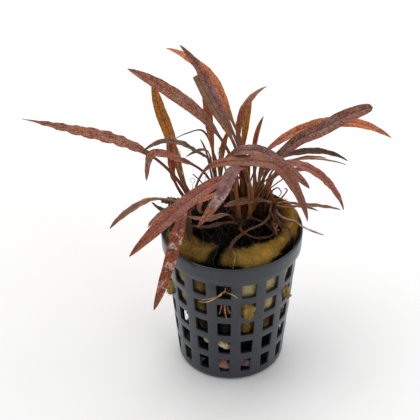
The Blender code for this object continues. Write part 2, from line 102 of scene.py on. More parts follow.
def about_axis(radius: Array, turn: Array, height: Array | float) -> Array:
    """Points at a radius, a turn and a height about the pot's axis."""
    return joined(radius * np.cos(turn), radius * np.sin(turn), height)


def lattice_noise(points: Array, size: float, seed: int = 0) -> Array:
    """Smooth noise from -1 to 1 in space.

    Each corner of a cubic lattice gets a value from a hash of its whole coordinates, and a point's value is
    the mean of its cell's eight corners, weighted by a smoothstep of its place between them.

    Args:
        points: Points, with x, y and z last.
        size: Side of a lattice cell, in the points' unit.
        seed: Picks another pattern.

    Returns:
        One value for each point.
    """
    scaled = np.asarray(points) / size
    cell = np.floor(scaled).astype(np.int64)
    t = smoothstep(scaled - cell, 0.0, 1.0)
    total = np.zeros(scaled.shape[:-1])
    for corner in product((0, 1), repeat=3):
        at = (cell + np.array(corner)) * HASH_STEPS
        code = np.bitwise_xor.reduce(at, axis=-1) ^ (seed * HASH_SEED_STEP)
        code = ((code ^ (code >> 13)) * HASH_MIX) & 0x7FFFFFFF
        value = ((code ^ (code >> 15)) & 0xFFFF) / 32767.5 - 1.0
        total += np.where(np.array(corner) == 1, t, 1.0 - t).prod(axis=-1) * value
    return total


def layered_noise(points: Array, size: float, layers: int, seed: int) -> Array:
    """Adds up layers of lattice noise, each half the size and half the strength of the one before."""
    return sum(lattice_noise(points, size / 2**layer, seed + layer) / 2**layer for layer in range(layers))


def path_length(path: Array) -> float:
    """Length along a path's points."""
    return float(np.linalg.norm(np.diff(path, axis=0), axis=1).sum())


def smooth_path(points: Iterable[Sequence[float]], count: int) -> Array:
    """A curve through points, evenly stepped.

    Each span between two points is a cubic Hermite piece whose end directions follow the points on both
    sides. The curve is then resampled at equal steps of its length.

    Args:
        points: The points that the curve passes through.
        count: Number of points in the result.

    Returns:
        The curve, as count rows of x, y and z.
    """
    through = np.asarray(list(points), float)
    spans = np.linalg.norm(np.diff(through, axis=0), axis=1)
    knots = np.concatenate([[0.0], np.cumsum(spans)])
    slopes = np.gradient(through, knots, axis=0, edge_order=2 if len(through) > 2 else 1)
    fine = np.linspace(0.0, knots[-1], 40 * len(through))
    span = np.clip(np.searchsorted(knots, fine, side="right") - 1, 0, len(spans) - 1)
    width = spans[span][:, None]
    t = (fine - knots[span])[:, None] / width
    curve = (
        (2 * t**3 - 3 * t**2 + 1) * through[span]
        + (t**3 - 2 * t**2 + t) * width * slopes[span]
        + (3 * t**2 - 2 * t**3) * through[span + 1]
        + (t**3 - t**2) * width * slopes[span + 1]
    )
    run = np.concatenate([[0.0], np.cumsum(np.linalg.norm(np.diff(curve, axis=0), axis=1))])
    even = np.linspace(0.0, run[-1], count)
    return joined(*(np.interp(even, run, curve[:, k]) for k in range(3)))


def tube_rings(paths: Array, radii: Array, around: int) -> Array:
    """Rings of points about paths.

    Each ring point is its path point plus the radius times cos a along one direction and sin a along the
    other, both square to the path. The first direction is square to the one along which the path runs least.

    Args:
        paths: Paths as strands by stations by x, y and z.
        radii: A radius for each station of each strand.
        around: Points in each ring.

    Returns:
        The points as strands by stations by around by x, y and z.
    """
    along = unit(np.gradient(paths, axis=1))
    _, _, axes = np.linalg.svd(along, full_matrices=False)
    least = np.broadcast_to(axes[:, -1:, :], along.shape)
    side = unit(np.cross(least, along))
    other = np.cross(along, side)
    turn = round_turns(around)[:, None]
    ring = side[:, :, None, :] * np.cos(turn) + other[:, :, None, :] * np.sin(turn)
    return paths[:, :, None, :] + radii[:, :, None, None] * ring


def ring_faces(strands: int, stations: int, around: int) -> list[Faces]:
    """The faces of closed tubes whose points are rings, strand by strand and station by station.

    Quads join each ring to the next, and one face closes each end.

    Args:
        strands: Number of tubes.
        stations: Rings in each tube.
        around: Points in each ring.

    Returns:
        Index arrays, one for each number of corners.
    """
    strand, row, k = np.meshgrid(*map(np.arange, (strands, stations - 1, around)), indexing="ij")
    start = (strand * stations + row) * around
    after = (k + 1) % around
    quads = joined(start + k, start + after, start + around + after, start + around + k)
    first = (np.arange(strands) * stations * around)[:, None] + np.arange(around)
    last = first + (stations - 1) * around
    return [quads.reshape(-1, 4), np.concatenate([first[:, ::-1], last])]


def signed_volume(points: Array, faces: Faces) -> float:
    """Volume within faces: the sum over fan triangles of a . (b x c) / 6, below zero if inside out."""
    a, *fan = (points[faces[:, k]] for k in range(faces.shape[1]))
    return sum(float(np.einsum("ij,ij->i", a, np.cross(b, c)).sum()) for b, c in zip(fan, fan[1:])) / 6.0


def make_mesh(name: str, points: Array, groups: Sequence[Faces], closed: bool = True) -> bpy.types.Mesh:
    """Makes a smooth-shaded mesh from arrays.

    Args:
        name: Name of the mesh.
        points: Points in millimetres.
        groups: Face index arrays, each for one number of corners.
        closed: Whether the mesh is closed, so that its faces are turned to point outwards.

    Returns:
        The mesh, in metres.
    """
    if closed and sum(signed_volume(points, faces) for faces in groups) < 0.0:
        groups = [faces[:, ::-1] for faces in groups]
    mesh = bpy.data.meshes.new(name)
    mesh.vertices.add(len(points))
    mesh.vertices.foreach_set("co", (points * MM).astype(np.float32).ravel())
    corners = np.concatenate([faces.ravel() for faces in groups]).astype(np.int32)
    sizes = np.concatenate([np.full(len(faces), faces.shape[1]) for faces in groups])
    mesh.loops.add(len(corners))
    mesh.loops.foreach_set("vertex_index", corners)
    mesh.polygons.add(len(sizes))
    mesh.polygons.foreach_set("loop_start", (np.cumsum(sizes) - sizes).astype(np.int32))
    mesh.update(calc_edges=True)
    mesh.shade_smooth()
    return mesh


def add_piece(
    name: str, mesh: bpy.types.Mesh, material: Material, stands_for: str | None = None
) -> bpy.types.Object:
    """Puts a mesh into the scene as a piece of the plant.

    Args:
        name: Name of the piece.
        mesh: Its mesh, in place.
        material: Its finish.
        stands_for: The solid that it is shown in place of, if any.

    Returns:
        The piece.
    """
    piece = bpy.data.objects.new(name, mesh)
    bpy.context.scene.collection.objects.link(piece)
    mesh.materials.append(material)
    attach(piece, BODY)
    if stands_for is not None:
        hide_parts(stands_for)
    mesh.calc_loop_triangles()
    LOG.info("%s: %d triangles", name, len(mesh.loop_triangles))
    return piece


def add_rings(
    name: str,
    rings: Array,
    material: Material,
    slot: str,
    stands_for: str | None = None,
    **values: Array,
) -> None:
    """Adds a piece that consists of closed tubes.

    Args:
        name: Name of the piece.
        rings: Its points in millimetres, as strands by stations by around by x, y and z, or one strand's.
        material: Its finish.
        slot: The record's material slot; not used.
        stands_for: The solid that it is shown in place of, if any.
        values: Vectors for its material to read, one for each point, under the attribute's name.
    """
    mesh = make_mesh(name, rings.reshape(-1, 3), ring_faces(*rings.reshape(-1, *rings.shape[-3:]).shape[:3]))
    for key, vectors in values.items():
        attribute = mesh.attributes.new(key, "FLOAT_VECTOR", "POINT")
        attribute.data.foreach_set("vector", vectors.astype(np.float32).ravel())
    add_piece(name, mesh, material, stands_for)


# Shader nodes


def srgb(red: int, green: int, blue: int) -> tuple[float, ...]:
    """Turns an sRGB colour from 0 to 255 into the linear one with full alpha that shaders take."""
    shares = [value / 255.0 for value in (red, green, blue)]
    return (*(s / 12.92 if s <= 0.04045 else ((s + 0.055) / 1.055) ** 2.4 for s in shares), 1.0)


class NodeSheet:
    """Adds and joins the nodes of one shader tree."""

    def __init__(self, tree: bpy.types.NodeTree) -> None:
        """Keeps the tree to work on."""
        self.tree = tree

    def join(self, node: bpy.types.Node, values: Inputs) -> None:
        """Joins sockets to a node's inputs, or sets their values."""
        for key, value in values.items():
            if isinstance(value, Socket):
                self.tree.links.new(value, node.inputs[key])
            else:
                node.inputs[key].default_value = value

    def add(self, kind: str, values: Inputs | None = None, **settings: object) -> bpy.types.Node:
        """Adds a node.

        Args:
            kind: Blender's name for the kind of node, without ShaderNode before it.
            values: Its inputs.
            settings: Properties of the node.

        Returns:
            The node.
        """
        node = self.tree.nodes.new(kind if kind.startswith("NodeGroup") else f"ShaderNode{kind}")
        for key, value in settings.items():
            setattr(node, key, value)
        self.join(node, values or {})
        return node

    def math(self, operation: str, first: object, second: object = 0.0) -> Socket:
        """Gives the result of a Math node on two numbers or sockets."""
        return self.add("Math", {0: first, 1: second}, operation=operation).outputs[0]

    def times(self, first: object, second: object) -> Socket:
        """Gives the product of two numbers or sockets."""
        return self.math("MULTIPLY", first, second)

    def rise(self, value: object, low: object, high: object, to_low: float = 0, to_high: float = 1) -> Socket:
        """Maps a value smoothly, to to_low at low and below it, and to to_high at high and above it."""
        values = {0: value, 1: low, 2: high, 3: to_low, 4: to_high}
        return self.add("MapRange", values, interpolation_type="SMOOTHSTEP").outputs[0]

    def mix(self, share: object, first: object, second: object, blend: str = "MIX") -> Socket:
        """Gives a mix of two colours: the first at share 0 and the second at share 1."""
        first, second = (srgb(*colour) if isinstance(colour, tuple) else colour for colour in (first, second))
        return self.add("Mix", {0: share, 6: first, 7: second}, data_type="RGBA", blend_type=blend).outputs[2]

    def tint(self, under: object, mask: object, strength: float, over: object) -> Socket:
        """Lays one colour over another where the mask is, as strongly as strength says."""
        return self.mix(self.times(mask, strength), under, over)

    def noise(self, place: Socket, scale: object, **values: float) -> Socket:
        """Gives a noise at a place, at so many cells a millimetre."""
        return self.add("TexNoise", {"Vector": place, "Scale": scale, **values}).outputs[0]

    def vector(self, x: object, y: object, z: object = 0.0) -> Socket:
        """Gives a vector of three numbers or sockets."""
        return self.add("CombineXYZ", {0: x, 1: y, 2: z}).outputs[0]

    def attribute(self, name: str) -> Sequence[Socket]:
        """Gives the three numbers of a vector that a mesh holds for each point."""
        vector = self.add("Attribute", attribute_name=name).outputs["Vector"]
        return self.add("SeparateXYZ", {0: vector}).outputs[:3]

    def place_mm(self) -> Socket:
        """Gives the point on the piece in millimetres."""
        coordinates = self.add("TexCoord").outputs["Object"]
        return self.add("VectorMath", {0: coordinates, 3: 1.0 / MM}, operation="SCALE").outputs[0]

    def mask(self, place: Socket, size: float, level: float, softness: float, detail: float = 2.0) -> Socket:
        """Gives the mask of patches of a size in millimetres, over a level, with edges of a softness."""
        values = {"Place": place, "Size mm": size, "Level": level, "Softness": softness, "Detail": detail}
        return self.add("Group", values, node_tree=mottle_group()).outputs["Mask"]

    def bump(
        self,
        place: Socket,
        coarse: float,
        fine: float,
        fine_share: float,
        strength: float,
        depth: float,
        added: object = None,
    ) -> Socket:
        """Gives the normals of an uneven surface.

        Args:
            place: The point on the piece in millimetres.
            coarse: Size of the coarse bumps, in millimetres.
            fine: Size of the fine bumps, in millimetres.
            fine_share: Height of the fine bumps, as a share of that of the coarse.
            strength: Strength of the effect.
            depth: Depth that a height of 1 stands for, in millimetres.
            added: A further height, if any.

        Returns:
            The normals.
        """
        values = {"Place": place, "Coarse mm": coarse, "Fine mm": fine, "Fine share": fine_share}
        height = self.add("Group", values, node_tree=relief_group()).outputs["Height"]
        if added is not None:
            height = self.math("ADD", height, added)
        return self.add("Bump", {"Strength": strength, "Distance": depth * MM, "Height": height}).outputs[0]


def new_group(name: str, numbers: dict[str, float], output: str) -> NodeSheet:
    """Starts a shader node group that reads a place and some numbers and puts out one number.

    Args:
        name: Name of the group.
        numbers: Each number's name, with its default.
        output: Name of the output.

    Returns:
        A sheet to add the group's nodes with.
    """
    tree = bpy.data.node_groups.new(name, "ShaderNodeTree")
    tree.interface.new_socket("Place", in_out="INPUT", socket_type="NodeSocketVector")
    for key, default in numbers.items():
        socket = tree.interface.new_socket(key, in_out="INPUT", socket_type="NodeSocketFloat")
        socket.default_value = default
    tree.interface.new_socket(output, in_out="OUTPUT", socket_type="NodeSocketFloat")
    return NodeSheet(tree)


@cache
def mottle_group() -> bpy.types.NodeTree:
    """Patches of a size, as a mask: noise that is cut off softly about a level."""
    sheet = new_group("mottle", {"Size mm": 1.0, "Level": 0.5, "Softness": 0.08, "Detail": 2.0}, "Mask")
    given = sheet.add("NodeGroupInput").outputs
    scale = sheet.math("DIVIDE", 1.0, given["Size mm"])
    noise = sheet.noise(given["Place"], scale, Detail=given["Detail"], Roughness=0.6)
    low, high = (sheet.math(way, given["Level"], given["Softness"]) for way in ("SUBTRACT", "ADD"))
    sheet.add("NodeGroupOutput", {"Mask": sheet.rise(noise, low, high)})
    return sheet.tree


@cache
def relief_group() -> bpy.types.NodeTree:
    """Uneven height of a surface: a coarse and a fine noise added up."""
    sheet = new_group("relief", {"Coarse mm": 1.0, "Fine mm": 0.2, "Fine share": 0.4}, "Height")
    given = sheet.add("NodeGroupInput").outputs
    scales = (sheet.math("DIVIDE", 1.0, given[size]) for size in ("Coarse mm", "Fine mm"))
    coarse, fine = (sheet.noise(given["Place"], scale, Detail=3.0) for scale in scales)
    height = sheet.math("ADD", coarse, sheet.times(fine, given["Fine share"]))
    sheet.add("NodeGroupOutput", {"Height": height})
    return sheet.tree


# Finishes


class Finish:
    """A finish, whose paint says what goes into its shader's inputs."""

    def paint(self, sheet: NodeSheet) -> Inputs:
        """Adds the finish's nodes and gives the shader's inputs.

        Args:
            sheet: The material's node sheet.

        Returns:
            The inputs of the shader, with the socket or the value of each.
        """
        raise NotImplementedError

    def build(self, name: str) -> Material:
        """Builds the material.

        Args:
            name: Name of the material.

        Returns:
            The material.
        """
        material = bpy.data.materials.new(name)
        material.use_nodes = True
        sheet = NodeSheet(material.node_tree)
        sheet.join(material.node_tree.nodes["Principled BSDF"], self.paint(sheet))
        return material


@dataclass(frozen=True)
class LeafFinish(Finish):
    """A wet leaf: tiger mottling, a darker midrib, thin glowing margins, an underside and a stalk.

    slot is the record's material slot. blade, dark and light are the upper side's own colour, its mottles
    and its speckles, which are partly the leaf's own pale speckles and partly painted glints. glow is the
    colour of patches and margins where light comes through, under that of the underside, and film that of
    a painted wet grey sheen, a painted reflection of the pale surroundings, which gathers in clusters where
    a noise passes painted_sheen_level, over the part of the length in painted_sheen_span. tip is the colour of
    the blade from tip_from on, as strong as tip_share, and half that of one side of the midrib, painted lighter
    as if light fell on that half of the fold, as strong as lit_half_share. warmth tints it all. roughness and
    coat are those of the wet skin. The sizes in mm are those of the patches, and lean is how far the tiger
    stripes slant back from the midrib.
    """

    slot: str
    blade: Colour
    dark: Colour
    # light is the colour of the pale speckles, partly the leaf's own and partly painted glints
    light: Colour
    glow: Colour
    under: Colour
    stalk: Colour
    # Colour and spread of the painted sheen, a painted reflection of the pale surroundings on the wet skin
    painted_sheen: Colour = (150, 128, 138)
    painted_sheen_level: float = 0.6
    painted_sheen_mm: float = 0.5
    mottle_level: float = 0.5
    tip: Colour = (150, 84, 30)
    tip_share: float = 0.0
    tip_from: float = 0.72
    painted_sheen_span: tuple[float, float] = (0.0, 1.0)
    # The colour painted on one half of the fold, lighter as if lit, and its strength
    half: Colour = (160, 90, 66)
    lit_half_share: float = 0.0
    roughness: float = 0.4
    coat: float = 0.16
    warmth: ClassVar[Colour] = (255, 246, 226)
    tiger_mm: ClassVar[float] = 0.75
    speck_and_glint_mm: ClassVar[float] = 0.4
    blotch_mm: ClassVar[float] = 3.0
    glow_mm: ClassVar[float] = 7.0
    cluster_mm: ClassVar[float] = 4.2
    streak_mm: ClassVar[float] = 0.4
    lean: ClassVar[float] = 0.6
    veins_per_mm: ClassVar[float] = 8.0

    def paint(self, sheet: NodeSheet) -> Inputs:
        """Adds the leaf's nodes, which read where on the leaf a point lies, and gives the shader's inputs."""
        times, tint, mask = sheet.times, sheet.tint, sheet.mask
        place = sheet.place_mm()
        along, across, reach = sheet.attribute("leaf_place")
        blade, under, share = sheet.attribute("leaf_side")
        span = sheet.math("ABSOLUTE", across)
        lit_side = sheet.rise(reach, -0.06, 0.06)
        margin = sheet.rise(sheet.math("ABSOLUTE", reach), 0.86, 1.0, 0.0, 0.6)
        rib = sheet.rise(span, 0.08, 0.3, 0.7, 0.0)
        tipped = times(sheet.rise(share, self.tip_from, self.tip_from + 0.12), self.tip_share)

        slanted = sheet.vector(sheet.math("SUBTRACT", along, times(span, self.lean)), times(across, 0.5))
        tiger = mask(slanted, self.tiger_mm, self.mottle_level, 0.06, 3.0)
        # Pale speckles: partly the leaf's own speckles and partly painted glints
        specks_and_glints = mask(place, self.speck_and_glint_mm, 0.58, 0.05)
        blotches = mask(place, self.blotch_mm, 0.52, 0.12, 3.0)
        glows = mask(place, self.glow_mm, 0.6, 0.1)
        # Painted sheen: clusters of pale grey that stand in for reflections on the wet skin, kept off the tip
        low, high = self.painted_sheen_span
        painted_sheens = mask(sheet.vector(times(along, 0.5), across), self.painted_sheen_mm, 0.48, 0.05, 4.0)
        painted_sheens = times(painted_sheens, mask(place, self.cluster_mm, self.painted_sheen_level, 0.07, 3.0))
        painted_sheens = times(painted_sheens, sheet.rise(share, low - 0.1, low))
        painted_sheens = times(painted_sheens, sheet.rise(share, high, high + 0.08, 1.0, 0.0))
        painted_sheens = times(painted_sheens, sheet.math("SUBTRACT", 1.0, tipped))

        # One side of the midrib is painted lighter: painted light on that half of the folded blade
        body = tint(self.blade, lit_side, self.lit_half_share, self.half)
        body = tint(body, blotches, 0.4, self.dark)
        body = sheet.mix(sheet.math("MAXIMUM", glows, margin), body, self.glow)
        body = sheet.mix(tipped, body, self.tip)
        upper = tint(body, tiger, 0.88, self.dark)
        upper = sheet.mix(rib, upper, self.dark)
        upper = tint(upper, specks_and_glints, 0.6, self.light)
        upper = tint(upper, painted_sheens, 0.85, self.painted_sheen)
        lower = tint(self.under, tiger, 0.45, self.dark)
        lower = tint(lower, specks_and_glints, 0.3, self.light)
        drawn = sheet.vector(times(along, 0.12), across, under)
        stalk = tint(self.stalk, mask(drawn, self.streak_mm, 0.5, 0.15), 0.6, self.dark)
        colour = sheet.mix(blade, stalk, sheet.mix(under, upper, lower))

        veins = times(sheet.math("SINE", times(across, self.veins_per_mm)), 0.1)
        return {
            "Base Color": sheet.mix(1.0, colour, self.warmth, "MULTIPLY"),
            "Roughness": sheet.rise(painted_sheens, 0.0, 1.0, self.roughness, self.roughness - 0.1),
            "Normal": sheet.bump(place, 0.8, 0.2, 0.5, 0.6, 0.22, veins),
            "Coat Weight": self.coat,
            "Coat Roughness": 0.2,
            "Specular IOR Level": 0.35,
        }


@dataclass(frozen=True)
class PlasticFinish(Finish):
    """Moulded satin plastic: a colour, a slightly lighter scuff, and a faint orange peel."""

    colour: Colour = (38, 42, 51)
    scuff: Colour = (53, 58, 68)

    def paint(self, sheet: NodeSheet) -> Inputs:
        """Adds the plastic's nodes and gives the shader's inputs."""
        place = sheet.place_mm()
        cloud = sheet.mask(place, 9.0, 0.52, 0.25, 4.0)
        scuffs = sheet.mask(place, 0.8, 0.66, 0.05, 5.0)
        colour = sheet.tint(self.colour, cloud, 0.35, self.scuff)
        return {
            "Base Color": sheet.tint(colour, scuffs, 0.25, self.scuff),
            "Roughness": sheet.rise(cloud, 0.0, 1.0, 0.24, 0.38),
            "Normal": sheet.bump(place, 1.4, 0.25, 0.25, 0.16, 0.2),
            "Specular IOR Level": 0.5,
        }


@dataclass(frozen=True)
class WoolFinish(Finish):
    """Damp mineral wool: matted fibres, painted light on its crest and sides, painted shade in its hollows.

    The value that the mesh holds for how wet the wool is also carries painted light and shade. It runs from
    -0.4, where the wool is painted a vivid yellow as painted light, over 0, where it is dry, and 0.6, where it
    is damp, to 1 where it is wet and partly in painted shade. From 1.1 on it is painted near black as shade.
    """

    dry: Colour = (194, 154, 68)
    pale: Colour = (214, 186, 112)
    damp: Colour = (120, 92, 42)
    wet: Colour = (34, 26, 15)
    painted_shade_black: Colour = (4, 4, 3)
    painted_window_light: Colour = (214, 204, 152)
    painted_light_yellow: Colour = (246, 192, 88)
    drift: float = 0.7

    def paint(self, sheet: NodeSheet) -> Inputs:
        """Adds the wool's nodes, which read how wet it is, its painted shade and its painted light, and gives
        the shader's inputs.
        """
        place = sheet.place_mm()
        wetness_and_shading, painted_window_light, _ = sheet.attribute("wool_state")
        drift = sheet.math("SUBTRACT", sheet.noise(place, 0.16, Detail=3.0), 0.5)
        wetness_and_shading = sheet.math("ADD", wetness_and_shading, sheet.times(drift, self.drift))
        turned = {"Vector": place, "Rotation": (0.5, 0.3, 0.9), "Scale": (0.35, 2.2, 1.6)}
        lying = sheet.add("Mapping", turned).outputs[0]
        fibre = sheet.noise(lying, 1.6, Detail=5.0, Roughness=0.7, Distortion=0.8)
        colour = sheet.tint(self.dry, sheet.mask(place, 3.2, 0.52, 0.3), 0.7, self.damp)
        colour = sheet.tint(colour, sheet.rise(fibre, 0.42, 0.64), 0.4, self.pale)
        grain = sheet.rise(sheet.noise(place, 2.8, Detail=3.0), 0.5, 0.72, 0.0, 0.6)
        colour = sheet.mix(grain, colour, self.damp)
        # Painted light: the side seen through the windows is painted paler, standing in for light there
        colour = sheet.tint(colour, painted_window_light, 0.75, self.painted_window_light)
        # Painted light: where the value falls below zero the wool is painted a vivid yellow, standing in for
        # light on the crest
        colour = sheet.mix(sheet.rise(wetness_and_shading, -0.4, -0.1, 0.8, 0.0), colour, self.painted_light_yellow)
        # As the value rises the wool turns damp, then wet and partly shaded, then near black as painted shade
        for low, high, over in ((0.2, 0.62, self.damp), (0.52, 0.95, self.wet), (1.1, 1.5, self.painted_shade_black)):
            colour = sheet.mix(sheet.rise(wetness_and_shading, low, high), colour, over)
        return {
            "Base Color": colour,
            "Roughness": 0.92,
            "Normal": sheet.bump(place, 0.8, 0.14, 0.6, 1.0, 0.8, fibre),
            "Specular IOR Level": 0.1,
        }


@dataclass(frozen=True)
class RootFinish(Finish):
    """Roots: two colours in patches of a size in millimetres, a little wet."""

    colour: Colour
    dark: Colour
    roughness: float = 0.5
    patch: float = 2.0
    specular: float = 0.4

    def paint(self, sheet: NodeSheet) -> Inputs:
        """Adds the root's nodes and gives the shader's inputs."""
        place = sheet.place_mm()
        return {
            "Base Color": sheet.mix(sheet.mask(place, self.patch, 0.5, 0.12, 4.0), self.colour, self.dark),
            "Roughness": self.roughness,
            "Normal": sheet.bump(place, 0.5, 0.12, 0.5, 0.5, 0.2),
            "Specular IOR Level": self.specular,
        }


@dataclass(frozen=True)
class FloorFinish(Finish):
    """A plain pale floor without gloss."""

    shade: float = 0.97

    def paint(self, sheet: NodeSheet) -> Inputs:
        """Gives the shader's inputs."""
        colour = (self.shade, self.shade, self.shade, 1.0)
        return {"Base Color": colour, "Roughness": 0.9, "Specular IOR Level": 0.0}


class Tone(Enum):
    """The looks that this plant's leaves have, each with its finish."""

    RUSSET = LeafFinish("leaf_red", (168, 98, 74), (92, 46, 40), (212, 160, 140), (184, 96, 58),
        (156, 86, 56), (122, 70, 46), painted_sheen=(158, 122, 118))
    CHESTNUT = LeafFinish("leaf_red", (150, 86, 62), (98, 52, 40), (180, 124, 98), (168, 92, 56),
        (140, 82, 54), (136, 88, 58), painted_sheen=(142, 104, 96), painted_sheen_level=0.65, mottle_level=0.54)
    CHESTNUT_PLUM = LeafFinish("leaf_red", (142, 84, 54), (88, 48, 34), (172, 118, 88), (160, 88, 50),
        (140, 82, 54), (136, 88, 58), painted_sheen=(142, 104, 96), painted_sheen_level=0.65, mottle_level=0.54,
        tip=(122, 62, 54), tip_share=0.75, tip_from=0.5)
    PLUM = LeafFinish("leaf_grey", (150, 80, 62), (92, 44, 40), (176, 118, 104), (176, 84, 54),
        (184, 102, 46), (118, 70, 46), painted_sheen=(150, 112, 114), painted_sheen_level=0.66, mottle_level=0.53,
        tip=(164, 86, 54), tip_share=0.5)
    MAUVE = LeafFinish("leaf_grey", (128, 68, 64), (76, 46, 50), (168, 124, 122), (152, 70, 56),
        (172, 98, 42), (120, 78, 50), painted_sheen=(178, 158, 172), painted_sheen_level=0.47, painted_sheen_span=(0.77, 0.83),
        tip=(172, 96, 32), tip_share=0.95, tip_from=0.80)
    # VIOLET paints one half of its fold lighter, as painted light
    VIOLET = LeafFinish("leaf_grey", (126, 76, 64), (68, 42, 44), (176, 130, 120), (156, 80, 56),
        (158, 86, 54), (122, 78, 50), painted_sheen=(134, 110, 116), painted_sheen_level=0.55, tip=(152, 80, 58), tip_share=0.8,
        half=(168, 90, 64), lit_half_share=0.85)
    RUST = LeafFinish("leaf_ochre", (194, 112, 66), (124, 50, 30), (222, 164, 128), (202, 112, 54),
        (184, 104, 54), (150, 94, 46), painted_sheen=(190, 150, 130), painted_sheen_level=0.74, mottle_level=0.54)
    RUST_WET = LeafFinish("leaf_ochre", (160, 76, 42), (88, 36, 22), (204, 130, 92), (186, 92, 46),
        (172, 90, 46), (124, 74, 46), painted_sheen=(224, 208, 214), painted_sheen_level=0.55, painted_sheen_mm=0.7)
    RUST_DEEP = LeafFinish("leaf_red", (196, 104, 62), (140, 60, 38), (220, 146, 110), (208, 104, 54),
        (196, 104, 54), (150, 90, 50), painted_sheen=(176, 132, 116), painted_sheen_level=0.68, mottle_level=0.55)
    OLIVE = LeafFinish("leaf_ochre", (190, 120, 18), (108, 68, 14), (208, 150, 52), (198, 122, 24),
        (172, 112, 36), (164, 112, 52), painted_sheen=(196, 160, 110), painted_sheen_level=0.8, mottle_level=0.54)
    UMBER = LeafFinish("leaf_ochre", (138, 98, 74), (102, 66, 48), (174, 134, 108), (188, 114, 60),
        (180, 110, 58), (160, 110, 66), painted_sheen=(150, 124, 112), painted_sheen_level=0.68)
    TAN = LeafFinish("leaf_ochre", (136, 92, 60), (96, 60, 42), (170, 128, 94), (154, 94, 54), (140, 92, 56),
        (156, 108, 68), painted_sheen=(156, 124, 100), painted_sheen_level=0.7)
    BARK = LeafFinish("leaf_red", (88, 56, 42), (50, 32, 26), (118, 86, 66), (110, 66, 44), (92, 60, 42),
        (116, 78, 54), painted_sheen=(108, 84, 72), painted_sheen_level=0.7, roughness=0.75, coat=0.02)
    ASH = LeafFinish("leaf_grey", (116, 82, 64), (64, 46, 40), (148, 120, 100), (128, 82, 54), (128, 86, 56),
        (122, 84, 52), painted_sheen=(134, 110, 98), roughness=0.65, coat=0.05)
    # A pale strand: its pale body and near-white sheen colour are partly its own colour and partly painted
    # highlights
    SILVER = LeafFinish("leaf_grey", (180, 158, 160), (112, 84, 82), (214, 200, 202), (156, 112, 98),
        (146, 114, 110), (178, 158, 158), painted_sheen=(244, 236, 240), painted_sheen_level=0.48, tip=(116, 80, 62),
        tip_share=1)


# The plant


@dataclass(frozen=True)
class CrownShape:
    """A short rhizome that a rosette of leaves grows from: its middle, and its radius level with that."""

    centre: Triple
    radius: float


@dataclass(frozen=True)
class LeafShape:
    """One leaf with its stalk.

    foot is where it leaves the crown: the angle round it and the rise above its middle, in degrees. The
    midrib then passes through the points in turn and ends at the last. stalk is the share of the length that
    the stalk takes. face turns the blade's upper side to the viewer, in degrees, and twist turns it further
    from foot to tip. A cut leaf has lost its tip. ruffle is how far its margins wave, in waves waves, and
    full is the power of the taper towards the tip: the lower it is, the longer the blade stays wide.
    """

    crown: str
    foot: tuple[float, float]
    tone: Tone
    width: float
    points: tuple[Triple, ...]
    stalk: float = 0.3
    face: float = 0.0
    cut: bool = False
    ruffle: float = 0.125
    waves: float = 3.0
    twist: float = 0.0
    full: float = 0.7


CROWNS: dict[str, CrownShape] = {
    "left": CrownShape((-13.5, 10.0, 55.0), 2.8),
    "middle": CrownShape((-5.0, 13.0, 53.5), 3.0),
    "centre": CrownShape((3.0, 7.5, 51.5), 3.6),
    "right": CrownShape((10.5, 11.5, 53.5), 3.2),
    "side": CrownShape((15.2, 8.0, 57.0), 2.0),
}

